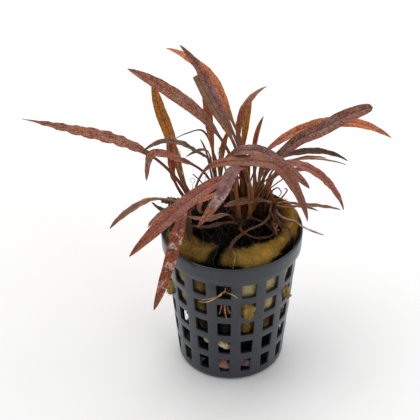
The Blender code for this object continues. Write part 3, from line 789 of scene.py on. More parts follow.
LEAVES: dict[str, LeafShape] = {
    # Centre crown
    "leaf_upper_left": LeafShape("centre", (165, 50), Tone.RUSSET, 4.8, ((-1, 12, 78), (-9, 16, 89),
        (-23, 19, 100), (-36, 21, 107)), stalk=0.42, face=30, ruffle=0.15, waves=7, twist=12),
    "leaf_tall_orange": LeafShape("centre", (90, 40), Tone.RUST, 4.2, ((4, 16, 77.5), (-0.7, 21.6, 87.3),
        (-7.8, 30, 98.4), (-14, 33.8, 102.5), (-23, 38, 105)), stalk=0.46, face=10, waves=6, twist=-14),
    "leaf_tall_dark": LeafShape("centre", (90, 75), Tone.VIOLET, 3.5, ((3.4, 9, 78.3), (0.3, 10.2, 87.7),
        (-5.8, 12.9, 99.4), (-11.7, 17.3, 109.9), (-18, 22, 116)), stalk=0.46, face=20, waves=5, twist=10),
    "leaf_tall_cut": LeafShape("centre", (130, 45), Tone.UMBER, 3.9, ((1.8, 14, 77.1), (-1.1, 16, 83.8),
        (-7, 20.9, 92.6), (-12.6, 26, 101.1)), stalk=0.5, face=20, cut=True, ruffle=0.1, waves=4, twist=-12),
    "leaf_upright_right": LeafShape("centre", (35, 50), Tone.CHESTNUT, 2.8, ((3.6, 11.5, 75.7),
        (2.2, 14.4, 85.7), (4.6, 17.8, 93.8), (12, 24, 98)), stalk=0.5, waves=4, twist=20),
    "leaf_folded_right": LeafShape("centre", (60, 20), Tone.OLIVE, 2.6, ((4.2, 20.5, 69.4), (4.6, 23.6, 78.4),
        (5.4, 26.9, 83.7), (7, 31, 90)), stalk=0.55, ruffle=0.175, waves=4, twist=-25),
    "leaf_front_big": LeafShape("centre", (-125, 55), Tone.PLUM, 5.2, ((2, 3, 74), (-4, -3, 77),
        (-14, -11, 75), (-25, -19, 69), (-35, -25, 61)), stalk=0.25, face=20, waves=6, twist=8),
    "leaf_front_centre": LeafShape("centre", (-55, 55), Tone.MAUVE, 5, ((5, 3, 75), (3, -1, 81), (0, -8, 84),
        (-4, -16, 80), (-12, -23, 72)), ruffle=0.15, waves=5, twist=-8),
    "leaf_front_under": LeafShape("centre", (-165, 50), Tone.RUST, 2.8, ((-2, 0, 71), (-9, -4, 70),
        (-18, -9, 70), (-29, -15, 66)), stalk=0.35, waves=4),
    "leaf_low_band": LeafShape("centre", (-150, 14), Tone.TAN, 3.3, ((-2.6, 1, 59.4), (-9, -3, 60.4),
        (-16, -4, 62.6)), ruffle=0.1),
    "leaf_low_front": LeafShape("centre", (-105, 8), Tone.BARK, 2.2, ((-3, -3, 58.8), (-9, -7, 60),
        (-16, -8, 62)), ruffle=0.1),
    # Left crown
    "leaf_yellow_upright": LeafShape("left", (110, 50), Tone.OLIVE, 4.6, ((-19, 17, 67), (-22, 24, 77),
        (-26, 29, 87), (-28, 33, 95)), ruffle=0.1, waves=5, twist=10),
    "leaf_red_upright": LeafShape("left", (150, 40), Tone.RUST_DEEP, 4.4, ((-20.6, 14, 66), (-21.4, 16, 74),
        (-22, 17, 82)), full=0.4),
    "leaf_yellow_second": LeafShape("left", (40, 60), Tone.OLIVE, 3, ((-17, 12, 66), (-19, 13, 75),
        (-21, 15, 83)), stalk=0.4, ruffle=0.075),
    "leaf_far_left": LeafShape("left", (185, 60), Tone.RUSSET, 4.3, ((-22, 10, 72), (-29, 10, 79),
        (-41, 9, 86), (-55, 6, 92), (-71, 2, 99)), face=30, ruffle=0.34, waves=9, twist=14, full=1.15),
    "leaf_front_arch": LeafShape("left", (-20, 60), Tone.CHESTNUT_PLUM, 4.7, ((-12, 7, 69), (-8, 5, 77),
        (3, 3, 81), (10, 1, 82), (15, -1, 82), (19, -4, 79), (23, -7, 73), (26, -9, 64)), stalk=0.2, face=30,
        waves=9, twist=10),
    "leaf_front_hanging": LeafShape("left", (-90, 50), Tone.RUST_WET, 4.4, ((-16, 3, 62), (-17, -6, 65),
        (-19, -17, 63), (-22, -24, 55), (-27, -28, 40)), stalk=0.15, waves=5, twist=6),
    "leaf_left_droop": LeafShape("left", (200, 40), Tone.UMBER, 2.8, ((-19, 9, 59), (-28, 8, 61),
        (-36, 4, 59), (-43, 0, 54)), face=10, waves=5, twist=10),
    "leaf_left_small": LeafShape("left", (230, 45), Tone.BARK, 3.2, ((-19, 5, 59), (-24, 4, 59),
        (-28, 5, 62)), ruffle=0.1, full=0.4),
    # Middle crown
    "leaf_orange_upright": LeafShape("middle", (110, 65), Tone.RUST, 3.2, ((-6.8, 16.4, 77), (-7.8, 20.4, 83),
        (-8.8, 24, 90), (-10, 26, 95)), stalk=0.45, ruffle=0.1, waves=4, full=0.5),
    "leaf_kinked": LeafShape("middle", (200, 45), Tone.RUSSET, 3.4, ((-10, 12, 70), (-14, 11, 74),
        (-19, 8, 78.4), (-24, 7, 81.2), (-27.4, 6.2, 81.8), (-28.7, 5.6, 80), (-29.2, 5.2, 77),
        (-29.8, 4.4, 71.6)), stalk=0.35, face=20, waves=6, twist=10, full=0.6),
    "leaf_grey_left": LeafShape("middle", (140, 40), Tone.ASH, 2.8, ((-8, 18, 71), (-13, 15, 77),
        (-18, 11, 83), (-24, 9, 85), (-31, 7, 82)), face=10, ruffle=0.15, waves=6, twist=12),
    "leaf_thin_arc": LeafShape("middle", (75, 40), Tone.ASH, 1, ((-6, 21, 71), (-11, 25, 79), (-16, 26, 77),
        (-20, 26, 75)), stalk=0.4, ruffle=0.025),
    "leaf_narrow_grey": LeafShape("middle", (-130, 45), Tone.ASH, 1.8, ((-7, 9, 75), (-9, 8, 82),
        (-16, 7, 80)), stalk=0.4, ruffle=0.1, waves=4, twist=20),
    "leaf_spike": LeafShape("middle", (180, 75), Tone.RUSSET, 1.6, ((-8, 14, 72), (-9, 14, 77),
        (-11, 15, 82)), stalk=0.4, ruffle=0.05, waves=2),
    "leaf_short_yellow": LeafShape("middle", (25, 55), Tone.OLIVE, 2.2, ((-4, 17, 67), (-3, 19, 76),
        (-1, 21, 82)), stalk=0.4, ruffle=0.075),
    "leaf_right_arch": LeafShape("middle", (-50, 55), Tone.VIOLET, 5.1, ((-4, 9, 68.6), (-2, 8, 78.4),
        (3, 6, 83.2), (10, 6, 82.6), (16, 5, 79), (22, 3, 75), (27, 2, 70)), face=20, waves=6, twist=12,
        full=0.6),
    # Right crown
    "leaf_right_spike": LeafShape("right", (140, 50), Tone.RUST, 1.8, ((8, 15, 70), (8, 18, 77),
        (11, 20, 88)), stalk=0.45, ruffle=0.05),
    "leaf_right_big": LeafShape("right", (0, 75), Tone.VIOLET, 5.2, ((14, 13, 73), (19, 14, 78), (24, 15, 82),
        (31, 16, 85), (39, 18, 89), (49, 20, 92)), stalk=0.12, face=40, ruffle=0.1, waves=5, twist=6,
        full=0.3),
    "leaf_right_orange": LeafShape("right", (85, 55), Tone.RUST, 4.2, ((10, 15, 67), (12, 18, 74),
        (18, 21, 78), (25, 24, 80), (32, 26, 81), (42, 27, 81), (57, 26, 75)), stalk=0.25, face=30,
        ruffle=0.15, waves=8, twist=-12),
    "leaf_right_grey": LeafShape("right", (35, 50), Tone.BARK, 3.2, ((15, 16, 72), (24, 17, 75), (33, 17, 75),
        (41, 16, 72)), stalk=0.35, face=10, waves=5),
    "leaf_right_grey_low": LeafShape("right", (0, 40), Tone.CHESTNUT, 2, ((17, 13, 71), (24, 13, 75),
        (33, 12, 76)), stalk=0.35, ruffle=0.1, waves=4),
    "leaf_right_thin": LeafShape("right", (50, 30), Tone.TAN, 1.1, ((18, 18, 70), (26, 20, 70), (33, 21, 69),
        (41, 21, 67)), stalk=0.4, ruffle=0.05, waves=5),
    "leaf_right_arching": LeafShape("right", (-35, 50), Tone.PLUM, 3.6, ((14, 10, 73), (20, 9, 76),
        (25, 7, 76), (30, 5, 74), (35, 2, 70), (39, -1, 63)), face=20, ruffle=0.15, waves=7, twist=14),
    "leaf_right_brown": LeafShape("right", (-50, 20), Tone.TAN, 2.4, ((13, 9, 64), (16, 11, 70), (24, 12, 71),
        (35, 10, 68)), stalk=0.35, waves=5),
    # Side crown: the low and the fallen leaves
    "leaf_low_brown": LeafShape("side", (190, 55), Tone.UMBER, 3, ((11, 6, 62), (5, 3, 64), (-3, 1, 63)),
        stalk=0.15, face=20, waves=4),
    "leaf_low_right": LeafShape("side", (10, 50), Tone.UMBER, 2.2, ((19, 6, 61), (24, 5, 61), (31, 4, 61),
        (38, 2, 61)), stalk=0.15, waves=5),
    "leaf_low_right_small": LeafShape("side", (-45, 50), Tone.UMBER, 1.6, ((19, 2, 62), (24, 1, 63),
        (30, 0, 62)), stalk=0.25, ruffle=0.075, waves=4),
    "leaf_silver": LeafShape("side", (-70, 15), Tone.SILVER, 1.2, ((18, 1, 58), (22, -1, 58), (25, -3, 57),
        (32, -6, 56)), stalk=0.5, ruffle=0.05, waves=4, twist=30),
    "leaf_small_red": LeafShape("side", (220, 75), Tone.RUST_DEEP, 2.6, ((14, 6, 64), (12, 6, 71)), stalk=0.2,
        ruffle=0.075, waves=2),
    "leaf_fallen_front": LeafShape("side", (215, 15), Tone.BARK, 1.3, ((11, -2, 58), (5, -8, 59),
        (0, -14, 58), (-1, -19, 57)), stalk=0.5, ruffle=0.05, twist=20),
    "leaf_fallen_right": LeafShape("side", (-110, 25), Tone.BARK, 1, ((17, -2, 58), (20, -6, 58),
        (20, -10, 57)), stalk=0.5, ruffle=0.05, twist=20),
}

SCRAPS: dict[str, LeafShape] = {
    "scrap_under_big_leaf": LeafShape("left", (215, 35), Tone.TAN, 2.6, ((-21.6, 2.2, 61.4),
        (-25.1, -0.4, 60.2), (-29.3, -3, 57.9)), ruffle=0.1),
    "scrap_on_wool": LeafShape("left", (-60, 25), Tone.BARK, 3, ((-15.4, -2, 60), (-15.2, -6.5, 59),
        (-14.7, -10.6, 56.4)), ruffle=0.1, waves=2),
    "scrap_curled_left": LeafShape("middle", (-150, 30), Tone.CHESTNUT, 1.9, ((-11.2, 5, 61.6),
        (-11.6, 3.4, 60.4), (-10, 2.4, 58.6)), ruffle=0.15, twist=40),
    "scrap_curled_middle": LeafShape("middle", (-110, 30), Tone.BARK, 1.7, ((-7.4, 5, 62.4), (-8, 3, 61),
        (-6.6, 1.6, 58.2)), ruffle=0.15, twist=-30),
    "scrap_curled_pale": LeafShape("left", (-20, 40), Tone.TAN, 1.4, ((-11.8, 6.6, 63.2), (-13.2, 4.6, 62.6),
        (-13.4, 3.2, 60.2)), ruffle=0.1, twist=30),
    "scrap_hollow_right": LeafShape("centre", (-15, 20), Tone.BARK, 1.8, ((9, 3, 55.6), (13.4, 0, 55.2),
        (15.6, -4.4, 53.6)), ruffle=0.1),
    "scrap_hollow_front": LeafShape("centre", (-70, 15), Tone.BARK, 1.5, ((3.6, -1.6, 54), (8.4, -5, 53.8),
        (13.6, -5.2, 54.8), (15.8, -1, 56)), stalk=0.4, ruffle=0.1),
}


@dataclass(frozen=True)
class StalkShape:
    """A stalk whose blade is lost or out of sight: its course, its half-width at both ends, and its look."""

    points: tuple[Triple, ...]
    foot: float
    top: float
    tone: Tone


STALKS: dict[str, StalkShape] = {
    "stalk_front_left": StalkShape(((2.5, 4, 55.5), (2.5, 3, 58.6), (2.1, 3, 63), (1.4, 3, 67.8),
        (1.4, 4.4, 71.8), (1.8, 6, 75.6)), 0.75, 0.6, Tone.UMBER),
    "stalk_front_right": StalkShape(((5.6, 5, 54.6), (6.4, 4, 58), (6.3, 4, 63.6), (5.9, 4.2, 68.8),
        (4.9, 5.2, 73.2), (4, 6.8, 77.2)), 1, 0.6, Tone.UMBER),
    "stalk_dark_left": StalkShape(((4.4, 6.4, 56.4), (4.6, 6.2, 62.1), (3.9, 6.2, 67.3), (3.1, 6.4, 72.5),
        (2.6, 7.6, 76.9)), 0.9, 0.6, Tone.BARK),
    "stalk_middle": StalkShape(((6.6, 6.2, 57.6), (7.6, 5.4, 64.6), (7.7, 5.2, 69.8), (7.8, 6.2, 74.2),
        (9, 8.4, 77.9)), 1, 0.7, Tone.CHESTNUT),
    "stalk_middle_right": StalkShape(((7, 7.2, 57.4), (8.3, 6.4, 64.7), (9.2, 6.4, 69.9), (10.6, 7.2, 73.5),
        (12.2, 8.4, 76.6), (13.5, 10, 79.3)), 0.8, 0.55, Tone.UMBER),
    "stalk_right": StalkShape(((7.6, 8.2, 57.8), (8.8, 7.4, 64.9), (10.6, 7.4, 70.1), (13.3, 8.4, 73.6),
        (16, 9.6, 75.9), (18.8, 11.2, 77.6)), 0.75, 0.5, Tone.TAN),
    "stalk_right_low": StalkShape(((7.9, 7, 57), (8.8, 6.2, 63.6), (10.3, 6, 68.6), (12.9, 6.8, 71.4),
        (16.4, 8, 73), (20.6, 9.8, 73.6)), 0.7, 0.5, Tone.OLIVE),
    "stalk_fan_one": StalkShape(((6.2, 7, 57), (7.4, 6.6, 64), (9.6, 6.8, 70.6), (12.6, 8, 75)), 0.8, 0.55,
        Tone.TAN),
    "stalk_fan_two": StalkShape(((7.2, 6.6, 57), (8.4, 5.6, 62.6), (11.2, 5.6, 68), (15.4, 6.8, 71.8),
        (19, 8.6, 73.6)), 0.8, 0.5, Tone.TAN),
    "stalk_fan_three": StalkShape(((7.8, 7.4, 57), (9.4, 6.6, 61.6), (12.8, 6.8, 66), (17.6, 8.4, 69.4),
        (21.6, 10.6, 70.8)), 0.75, 0.5, Tone.UMBER),
    "stalk_fan_back": StalkShape(((9, 9.4, 58), (11, 9.4, 64), (14, 10, 69.6), (17.4, 11.6, 73.6)), 0.9, 0.6,
        Tone.TAN),
    "stalk_pale": StalkShape(((6.8, 3.6, 62.5), (7, 3, 68.2), (6, 2.8, 73.4), (5.2, 3, 77.4), (4.8, 4, 79.4)),
        0.35, 0.3, Tone.TAN),
    "stalk_behind": StalkShape(((5, 9, 57), (5.4, 8.6, 62.4), (6.4, 8.4, 68.5), (7.9, 9.2, 72.9),
        (10.5, 10.4, 77.3), (12.5, 12, 80)), 0.8, 0.6, Tone.CHESTNUT),
    "stalk_sheath_left": StalkShape(((0.4, 7.6, 56.6), (0.8, 7.4, 63.4), (1, 7.4, 70), (0.8, 8, 76)), 1.7,
        0.9, Tone.BARK),
    "stalk_sheath_middle": StalkShape(((5.4, 9.6, 56.6), (5.8, 9.4, 63.4), (5.8, 9.6, 70), (6, 10.6, 76)),
        1.9, 0.9, Tone.BARK),
    "stalk_sheath_right": StalkShape(((8, 9.8, 57.2), (8.8, 9.6, 63), (9.6, 9.8, 68), (11, 11.2, 73.6)), 1.6,
        0.8, Tone.TAN),
    "stalk_back_left": StalkShape(((0.6, 9.4, 57), (-0.6, 10.6, 64), (-2.4, 12.4, 72), (-4.4, 14.4, 78.6)),
        0.8, 0.5, Tone.CHESTNUT),
    "stalk_back": StalkShape(((3.6, 11, 57), (3.9, 12.2, 66), (3.4, 14.6, 75), (2.2, 17.4, 83)), 0.8, 0.5,
        Tone.OLIVE),
    "stalk_left_inner": StalkShape(((-6.6, 10.2, 56.6), (-8, 9, 62.6), (-10.4, 8.2, 68), (-13.6, 7.8, 72)),
        0.6, 0.4, Tone.BARK),
    "stalk_left_back": StalkShape(((-14.6, 12, 58.6), (-16.4, 13.4, 65), (-17.6, 14.4, 71),
        (-18.2, 15.6, 76.4)), 0.55, 0.35, Tone.OLIVE),
}


@dataclass
class Foliage:
    """Every leaf, each a closed blade lofted along its midrib, and the spare stalks between them."""

    step: float = 0.7
    least_stations: int = 24
    stalk_half_width: float = 0.55
    sheath_flare: float = 0.4
    stalk_half_thickness: float = 0.4
    blade_half_thickness: float = 0.13
    tip_half_width: float = 0.1
    tip_share: float = 0.2
    lance: float = 0.75
    fold_slope: float = 0.12
    crown_overlap: float = 0.8
    groove: float = 0.16
    dimple: float = 0.07
    spare_stations: int = 60
    spare_around: int = 20
    spare_depth: float = 0.55
    across: ClassVar[tuple[float, ...]] = (
        0.97, 0.88, 0.74, 0.58, 0.42, 0.28, 0.16, 0.07, 0.0, -0.07, -0.16, -0.28, -0.42, -0.58, -0.74, -0.88,
        -0.97,
    )

    def midrib(self, leaf: LeafShape) -> Array:
        """The leaf's centre line, from just inside its crown to its tip.

        Args:
            leaf: The leaf that it belongs to.

        Returns:
            Its points, at steps of about the same length.
        """
        crown = CROWNS[leaf.crown]
        turn, rise = (math.radians(angle) for angle in leaf.foot)
        outwards = [math.cos(turn) * math.cos(rise), math.sin(turn) * math.cos(rise), math.sin(rise)]
        radii = crown.radius * (LEVEL + CROWN_STRETCH * UP) - self.crown_overlap
        through = np.array([np.array(crown.centre) + np.array(outwards) * radii, *leaf.points])
        return smooth_path(through, max(self.least_stations, round(path_length(through) / self.step)))

    def directions(self, path: Array, leaf: LeafShape) -> tuple[Array, Array]:
        """The sideways and upper-face directions along a midrib.

        Sideways is the horizontal across the leaf's heading, made square to the path. Both are then turned
        about the path by face plus twist times the share of the length.

        Args:
            path: The midrib.
            leaf: The leaf.

        Returns:
            The sideways and the upper-face direction at each point.
        """
        tangent = unit(np.gradient(path, axis=0))
        level = unit(np.cross((path[-1] - path[0]) * LEVEL, UP))
        side = unit(level - tangent * (tangent @ level)[:, None])
        normal = np.cross(side, tangent)
        share = np.linspace(0.0, 1.0, len(path))[:, None]
        faced = math.radians(leaf.face) * math.copysign(1.0, level[1])
        turn = faced + math.radians(leaf.twist) * (share - leaf.stalk)
        return side * np.cos(turn) + normal * np.sin(turn), normal * np.cos(turn) - side * np.sin(turn)

    def half_widths(self, share: Array, leaf: LeafShape) -> Array:
        """Half-widths at shares of the length: a sheath, a stalk, and then a lance-shaped or a cut blade.

        The lance is (a/m)^0.75 ((1-a)/(1-m))^full, where a is the share of the blade's length and m where it
        is widest. A cut blade follows a sine to 0.8 of its half-turn.

        Args:
            share: Shares of the length.
            leaf: The leaf.

        Returns:
            The half-widths.
        """
        along = np.clip((share - leaf.stalk) / (1.0 - leaf.stalk), 0.0, 1.0)
        sheath = self.sheath_flare * np.clip(1.0 - share / leaf.stalk, 0.0, 1.0) ** 1.3
        if leaf.cut:
            half = leaf.width / 2.0 * np.sin(np.pi * 0.8 * along) ** 0.7
            return np.maximum(half, self.stalk_half_width + sheath)
        widest = self.lance / (self.lance + leaf.full)
        half = leaf.width / 2.0 * (along / widest) ** self.lance
        half = half * ((1.0 - along) / (1.0 - widest)) ** leaf.full
        fade = np.clip((share - 1.0 + self.tip_share) / self.tip_share, 0.0, 1.0)
        thin = min(self.stalk_half_width, 0.3 * leaf.width)
        least = thin * (1.0 - fade) + self.tip_half_width * fade
        return np.maximum(half, least + sheath * thin / self.stalk_half_width)

    def surface(self, leaf: LeafShape, seed: int) -> tuple[Array, Array, Array]:
        """The leaf's closed surface over its length and round its section.

        A section point at share v of the half-width lies at path + side v w + normal (t s + f w v^1.4 + r),
        where w is the half-width, t the half-thickness, s plus or minus the root of 1 - v^2 for the upper or
        lower side, f the fold, and r the ruffle, a sine along the leaf that grows with the square of v. The
        midrib is pressed in above and stands out below by a bell curve of the distance across.

        Args:
            leaf: The leaf.
            seed: Shifts its waves and its pattern.

        Returns:
            The points, their place on the leaf, and their blade share, lower side and share of the length.
        """
        path = self.midrib(leaf)
        side, normal = self.directions(path, leaf)
        share = np.linspace(0.0, 1.0, len(path))[:, None]
        v = np.array([1.0, *self.across, -1.0, *self.across[::-1]])
        top = np.repeat([0.0, 1.0, 0.0, -1.0], [1, len(self.across)] * 2)
        blade = smoothstep(share, leaf.stalk, leaf.stalk + 0.15)
        along = share * path_length(path)
        half = self.half_widths(share, leaf)
        thick = self.stalk_half_thickness + (self.blade_half_thickness - self.stalk_half_thickness) * blade

        phase = 2.399 * seed
        pace = 2.0 * np.pi * leaf.waves * np.clip((share - leaf.stalk) / (1.0 - leaf.stalk), 0.0, 1.0)
        taper = blade * (1.0 - smoothstep(share, 0.86, 1.0) * (0.0 if leaf.cut else 1.0))
        sway = np.where(v > 0.0, 0.0, 1.9)
        wave = np.sin(pace + phase + sway) + 0.5 * np.sin(2.3 * pace + 2.0 * phase + 2.0 * sway)
        ruffle = leaf.ruffle * taper * wave * np.abs(v) ** 2
        crinkle = layered_noise(joined(along, 3.0 * np.sign(v), 5.0 * seed), 2.2, 2, seed)
        notch = 1.0 + 0.25 * leaf.ruffle * taper * crinkle
        spread = half * v * np.where(np.abs(v) > 0.5, notch, 1.0)

        body = np.minimum(thick, half) * (np.sqrt(np.maximum(1.0 - v**2, 0.0)) * top)
        groove = self.groove * blade * np.exp(-((spread / 0.3) ** 2)) * np.where(top > 0.0, -1.0, -1.3)
        fold = self.fold_slope * half * (np.abs(v) ** 1.4)
        cloth = layered_noise(joined(along, spread, 7.0 * seed), 1.8, 2, seed + 9)
        raised = body + groove + fold + ruffle + self.dimple * blade * cloth * (1.0 - v**2)
        points = path[:, None] + side[:, None] * spread[..., None] + normal[:, None] * raised[..., None]
        return points, joined(along + 31.0 * seed, spread, v), joined(blade, 1.0 * (top < 0.0), share)

    def build(self) -> None:
        """Builds every leaf, the dead scraps between them and the spare stalks."""
        finishes = {tone: tone.value.build(f"leaf_{tone.name.lower()}") for tone in Tone}
        for seed, (name, leaf) in enumerate((LEAVES | SCRAPS).items(), start=1):
            points, place, sides = self.surface(leaf, seed)
            stands_for = name if name in LEAVES else None
            add_rings(
                f"{name}_blade", points, finishes[leaf.tone], leaf.tone.value.slot, stands_for,
                leaf_place=place, leaf_side=sides,
            )
        for seed, (name, stalk) in enumerate(STALKS.items(), start=1):
            points, place, sides = self.spare_surface(stalk, seed)
            add_rings(
                name, points, finishes[stalk.tone], stalk.tone.value.slot, leaf_place=place, leaf_side=sides
            )

    def spare_surface(self, stalk: StalkShape, seed: int) -> tuple[Array, Array, Array]:
        """A flattened spare stalk with its broad side away from the plant's middle.

        A section point at angle a lies at path + side w cos a + outwards 0.55 w sin a, where w is the
        half-width, and sin a is pressed in on the inner side, which makes a gutter.

        Args:
            stalk: Its shape.
            seed: Shifts its pattern.

        Returns:
            The points and the same two vectors for each as a leaf has.
        """
        path = smooth_path(stalk.points, self.spare_stations)
        share = np.linspace(0.0, 1.0, len(path))[:, None]
        tangent = unit(np.gradient(path, axis=0))
        away = unit((path.mean(axis=0) - np.array(CROWNS["centre"].centre)) * LEVEL + (0.0, -2.5, 0.0))
        side = unit(np.cross(tangent, away))
        out = np.cross(side, tangent)
        turn = round_turns(self.spare_around)
        wide = (stalk.foot + (stalk.top - stalk.foot) * share) * (1.0 + 0.05 * np.sin(3.0 * turn))
        deep = wide * (self.spare_depth * np.sin(turn) * np.where(np.sin(turn) > 0.0, 1.0, 0.35))
        spread = wide * np.cos(turn)
        points = path[:, None] + side[:, None] * spread[..., None] + out[:, None] * deep[..., None]
        along = share * path_length(path) + 17.0 * seed
        return points, joined(along, wide * turn / 2.0, 0.0), joined(0.0 * wide, 0.0, share)


@dataclass
class NetPot:
    """The net pot: one moulding with a rim band, windows between ribs, and a slotted base."""

    rim_radius: float = 25.0
    height: float = 55.0
    base_radius: float = 18.8
    wall: float = 0.95
    lip: float = 0.45
    band_height: float = 6.8
    band_taper: float = 0.3
    band_step: float = 0.8
    rounding: float = 1.6
    columns: int = 16
    rows: int = 5
    window_height: float = 6.1
    pitch: float = 9.1
    top_edge: float = 46.6
    turn_deg: float = -97.4
    corner: float = 0.3
    corner_at_radius: float = 21.5
    corner_nudge: float = 0.29
    widening: tuple[float, float] = (0.93, 1.15)
    widening_heights: tuple[float, float] = (7.0, 20.0)
    hub_radius: float = 6.0
    slot_end: float = 14.5
    slot_edge: float = 0.6
    edge_bevel: float = 0.12
    edge_bevel_deg: float = 50.0
    # The lip's rounding from inside out, as shares of its size inwards and down.
    lip_curve: ClassVar[tuple[tuple[float, float], ...]] = ((1.0, 0.0), (0.3, 0.3), (0.0, 1.0))

    @property
    def column(self) -> float:
        """The turn from one window to the next, in radians. A window takes up half of it."""
        return 2.0 * np.pi / self.columns

    def wall_radius(self, height: float) -> float:
        """Outer radius of the wall below the band, which grows evenly with height."""
        return self.base_radius + (self.rim_radius - self.band_step - self.base_radius) * height / self.height

    def off_window(self, turn: Array) -> Array:
        """How far a turn lies from the middle of the nearest window."""
        return (turn - math.radians(self.turn_deg) + self.column / 2.0) % self.column - self.column / 2.0

    def turns(self) -> tuple[Array, Array]:
        """Grid lines round the pot.

        Returns:
            Their angles in radians, and whether the cell after each lies in a window's column.
        """
        half = self.column / 4.0
        edge = self.corner / self.corner_at_radius
        inside = [-half, -half + edge, -half / 3.0, half / 3.0, half - edge]
        rib = [half, half + half / 2.0, 2.0 * half, half + 1.5 * half]
        starts = math.radians(self.turn_deg) + self.column * np.arange(self.columns)
        in_column = np.arange(len(inside + rib)) < len(inside)
        return (starts[:, None] + np.array(inside + rib)).ravel(), np.tile(in_column, self.columns)

    def profile(self) -> tuple[Array, Array, Array]:
        """Grid lines from the inner lip over the rim and down the outside to the hub.

        Returns:
            Their radii, their heights, and for each the number of the window row that the cell below it is
            in, or of the base slots as the row after the last, or -1.
        """
        rim, foot = self.rim_radius, self.height - self.band_height
        line = [(rim - self.lip * inner, self.height - self.lip * down, -1) for inner, down in self.lip_curve]
        for share in (0.35, 0.7, 0.95):
            line.append((rim - self.band_taper * share, self.height - self.band_height * share, -1))
        line.append((rim - self.band_taper - 0.15, foot + 0.05, -1))
        line.append((self.wall_radius(foot) + 0.1, foot - 0.15, -1))
        line.append((self.wall_radius(foot - 0.5), foot - 0.5, -1))
        for row in range(self.rows):
            top = self.top_edge - row * self.pitch
            low = top - self.window_height
            thirds = [top - share * self.window_height for share in (0.37, 0.63)]
            heights = (top, top - self.corner, *thirds, low + self.corner)
            line += [(self.wall_radius(height), height, row) for height in heights]
            line.append((self.wall_radius(low), low, -1))
        for step in range(7):
            turn = math.radians(15.0 * step)
            radius = self.wall_radius(self.rounding) - self.rounding * (1.0 - math.cos(turn))
            line.append((radius, self.rounding * (1.0 - math.sin(turn)), -1))
        slot = (self.slot_end, self.slot_end - self.slot_edge, (self.slot_end + self.hub_radius) / 2.0)
        line += [(radius, 0.0, self.rows) for radius in (*slot, self.hub_radius + self.slot_edge)]
        line += [(self.hub_radius, 0.0, -1), (self.hub_radius / 2.0, 0.0, -1)]
        radii, heights, rows = (np.array(values) for values in zip(*line, strict=True))
        return radii, heights, rows

    def skin(self) -> tuple[Array, list[Faces]]:
        """The pot's outer skin, a grid over the turn and the profile with the windows' cells left out.

        The windows grow wider upwards and the ribs narrower: a turn off a window's middle is stretched by the
        widening at its height. A window's corner points are moved inwards by 0.29 of the corner's size, which
        rounds the corners.

        Returns:
            The points and the faces, with a fan round the middle of the base.
        """
        turns, in_column = self.turns()
        radii, heights, rows = self.profile()
        count, lines = len(turns), len(radii)
        turn, radius = np.meshgrid(turns, radii, indexing="ij")
        height = np.broadcast_to(heights, turn.shape).copy()
        off = self.off_window(turn)
        wide = np.interp(height, self.widening_heights, self.widening)
        edge = self.column / 4.0
        across = np.minimum(np.abs(off), edge) * wide
        across += np.maximum(np.abs(off) - edge, 0.0) * (2.0 - wide)
        turn = turn + np.sign(off) * across - off
        before = np.roll(rows, 1)
        row_edges = ((rows >= 0) & (before != rows), -1.0), ((before >= 0) & (rows != before), 1.0)
        last = np.roll(in_column, 1)
        nudge = self.corner_nudge * self.corner
        for is_turn, way_turn in ((in_column & ~last, 1.0), (~in_column & last, -1.0)):
            at = np.flatnonzero(is_turn)
            for is_row, way_row in row_edges:
                for line in np.flatnonzero(is_row):
                    turn[at, line] += way_turn * nudge / radii[line]
                    moved = radius if heights[line] < 0.01 else height
                    moved[at, line] += way_row * nudge
        points = np.concatenate([about_axis(radius, turn, height).reshape(-1, 3), np.zeros((1, 3))])
        i, j = np.meshgrid(np.arange(count), np.arange(lines - 1), indexing="ij")
        after = (i + 1) % count
        quads = joined(i * lines + j, i * lines + j + 1, after * lines + j + 1, after * lines + j)
        alternate = (i // (count // self.columns)) % 2 == 0
        gone = in_column[i] & (rows[j] >= 0) & ((rows[j] < self.rows) | alternate)
        k = np.arange(count)
        fan = joined(k * lines + lines - 1, len(points) - 1, (k + 1) % count * lines + lines - 1)
        return points, [quads[~gone], fan]

    def build(self) -> None:
        """Builds the pot, its skin thickened inwards and its edges rounded."""
        mesh = make_mesh("net_pot_moulding", *self.skin(), closed=False)
        plastic = PlasticFinish().build("pot_plastic")
        pot = add_piece("net_pot_moulding", mesh, plastic, "net_pot")
        wall = pot.modifiers.new("wall", "SOLIDIFY")
        wall.thickness = self.wall * MM
        wall.offset = -1.0
        wall.use_even_offset = True
        edge = pot.modifiers.new("edge", "BEVEL")
        edge.width = self.edge_bevel * MM
        edge.segments = 2
        edge.limit_method = "ANGLE"
        edge.angle_limit = math.radians(self.edge_bevel_deg)


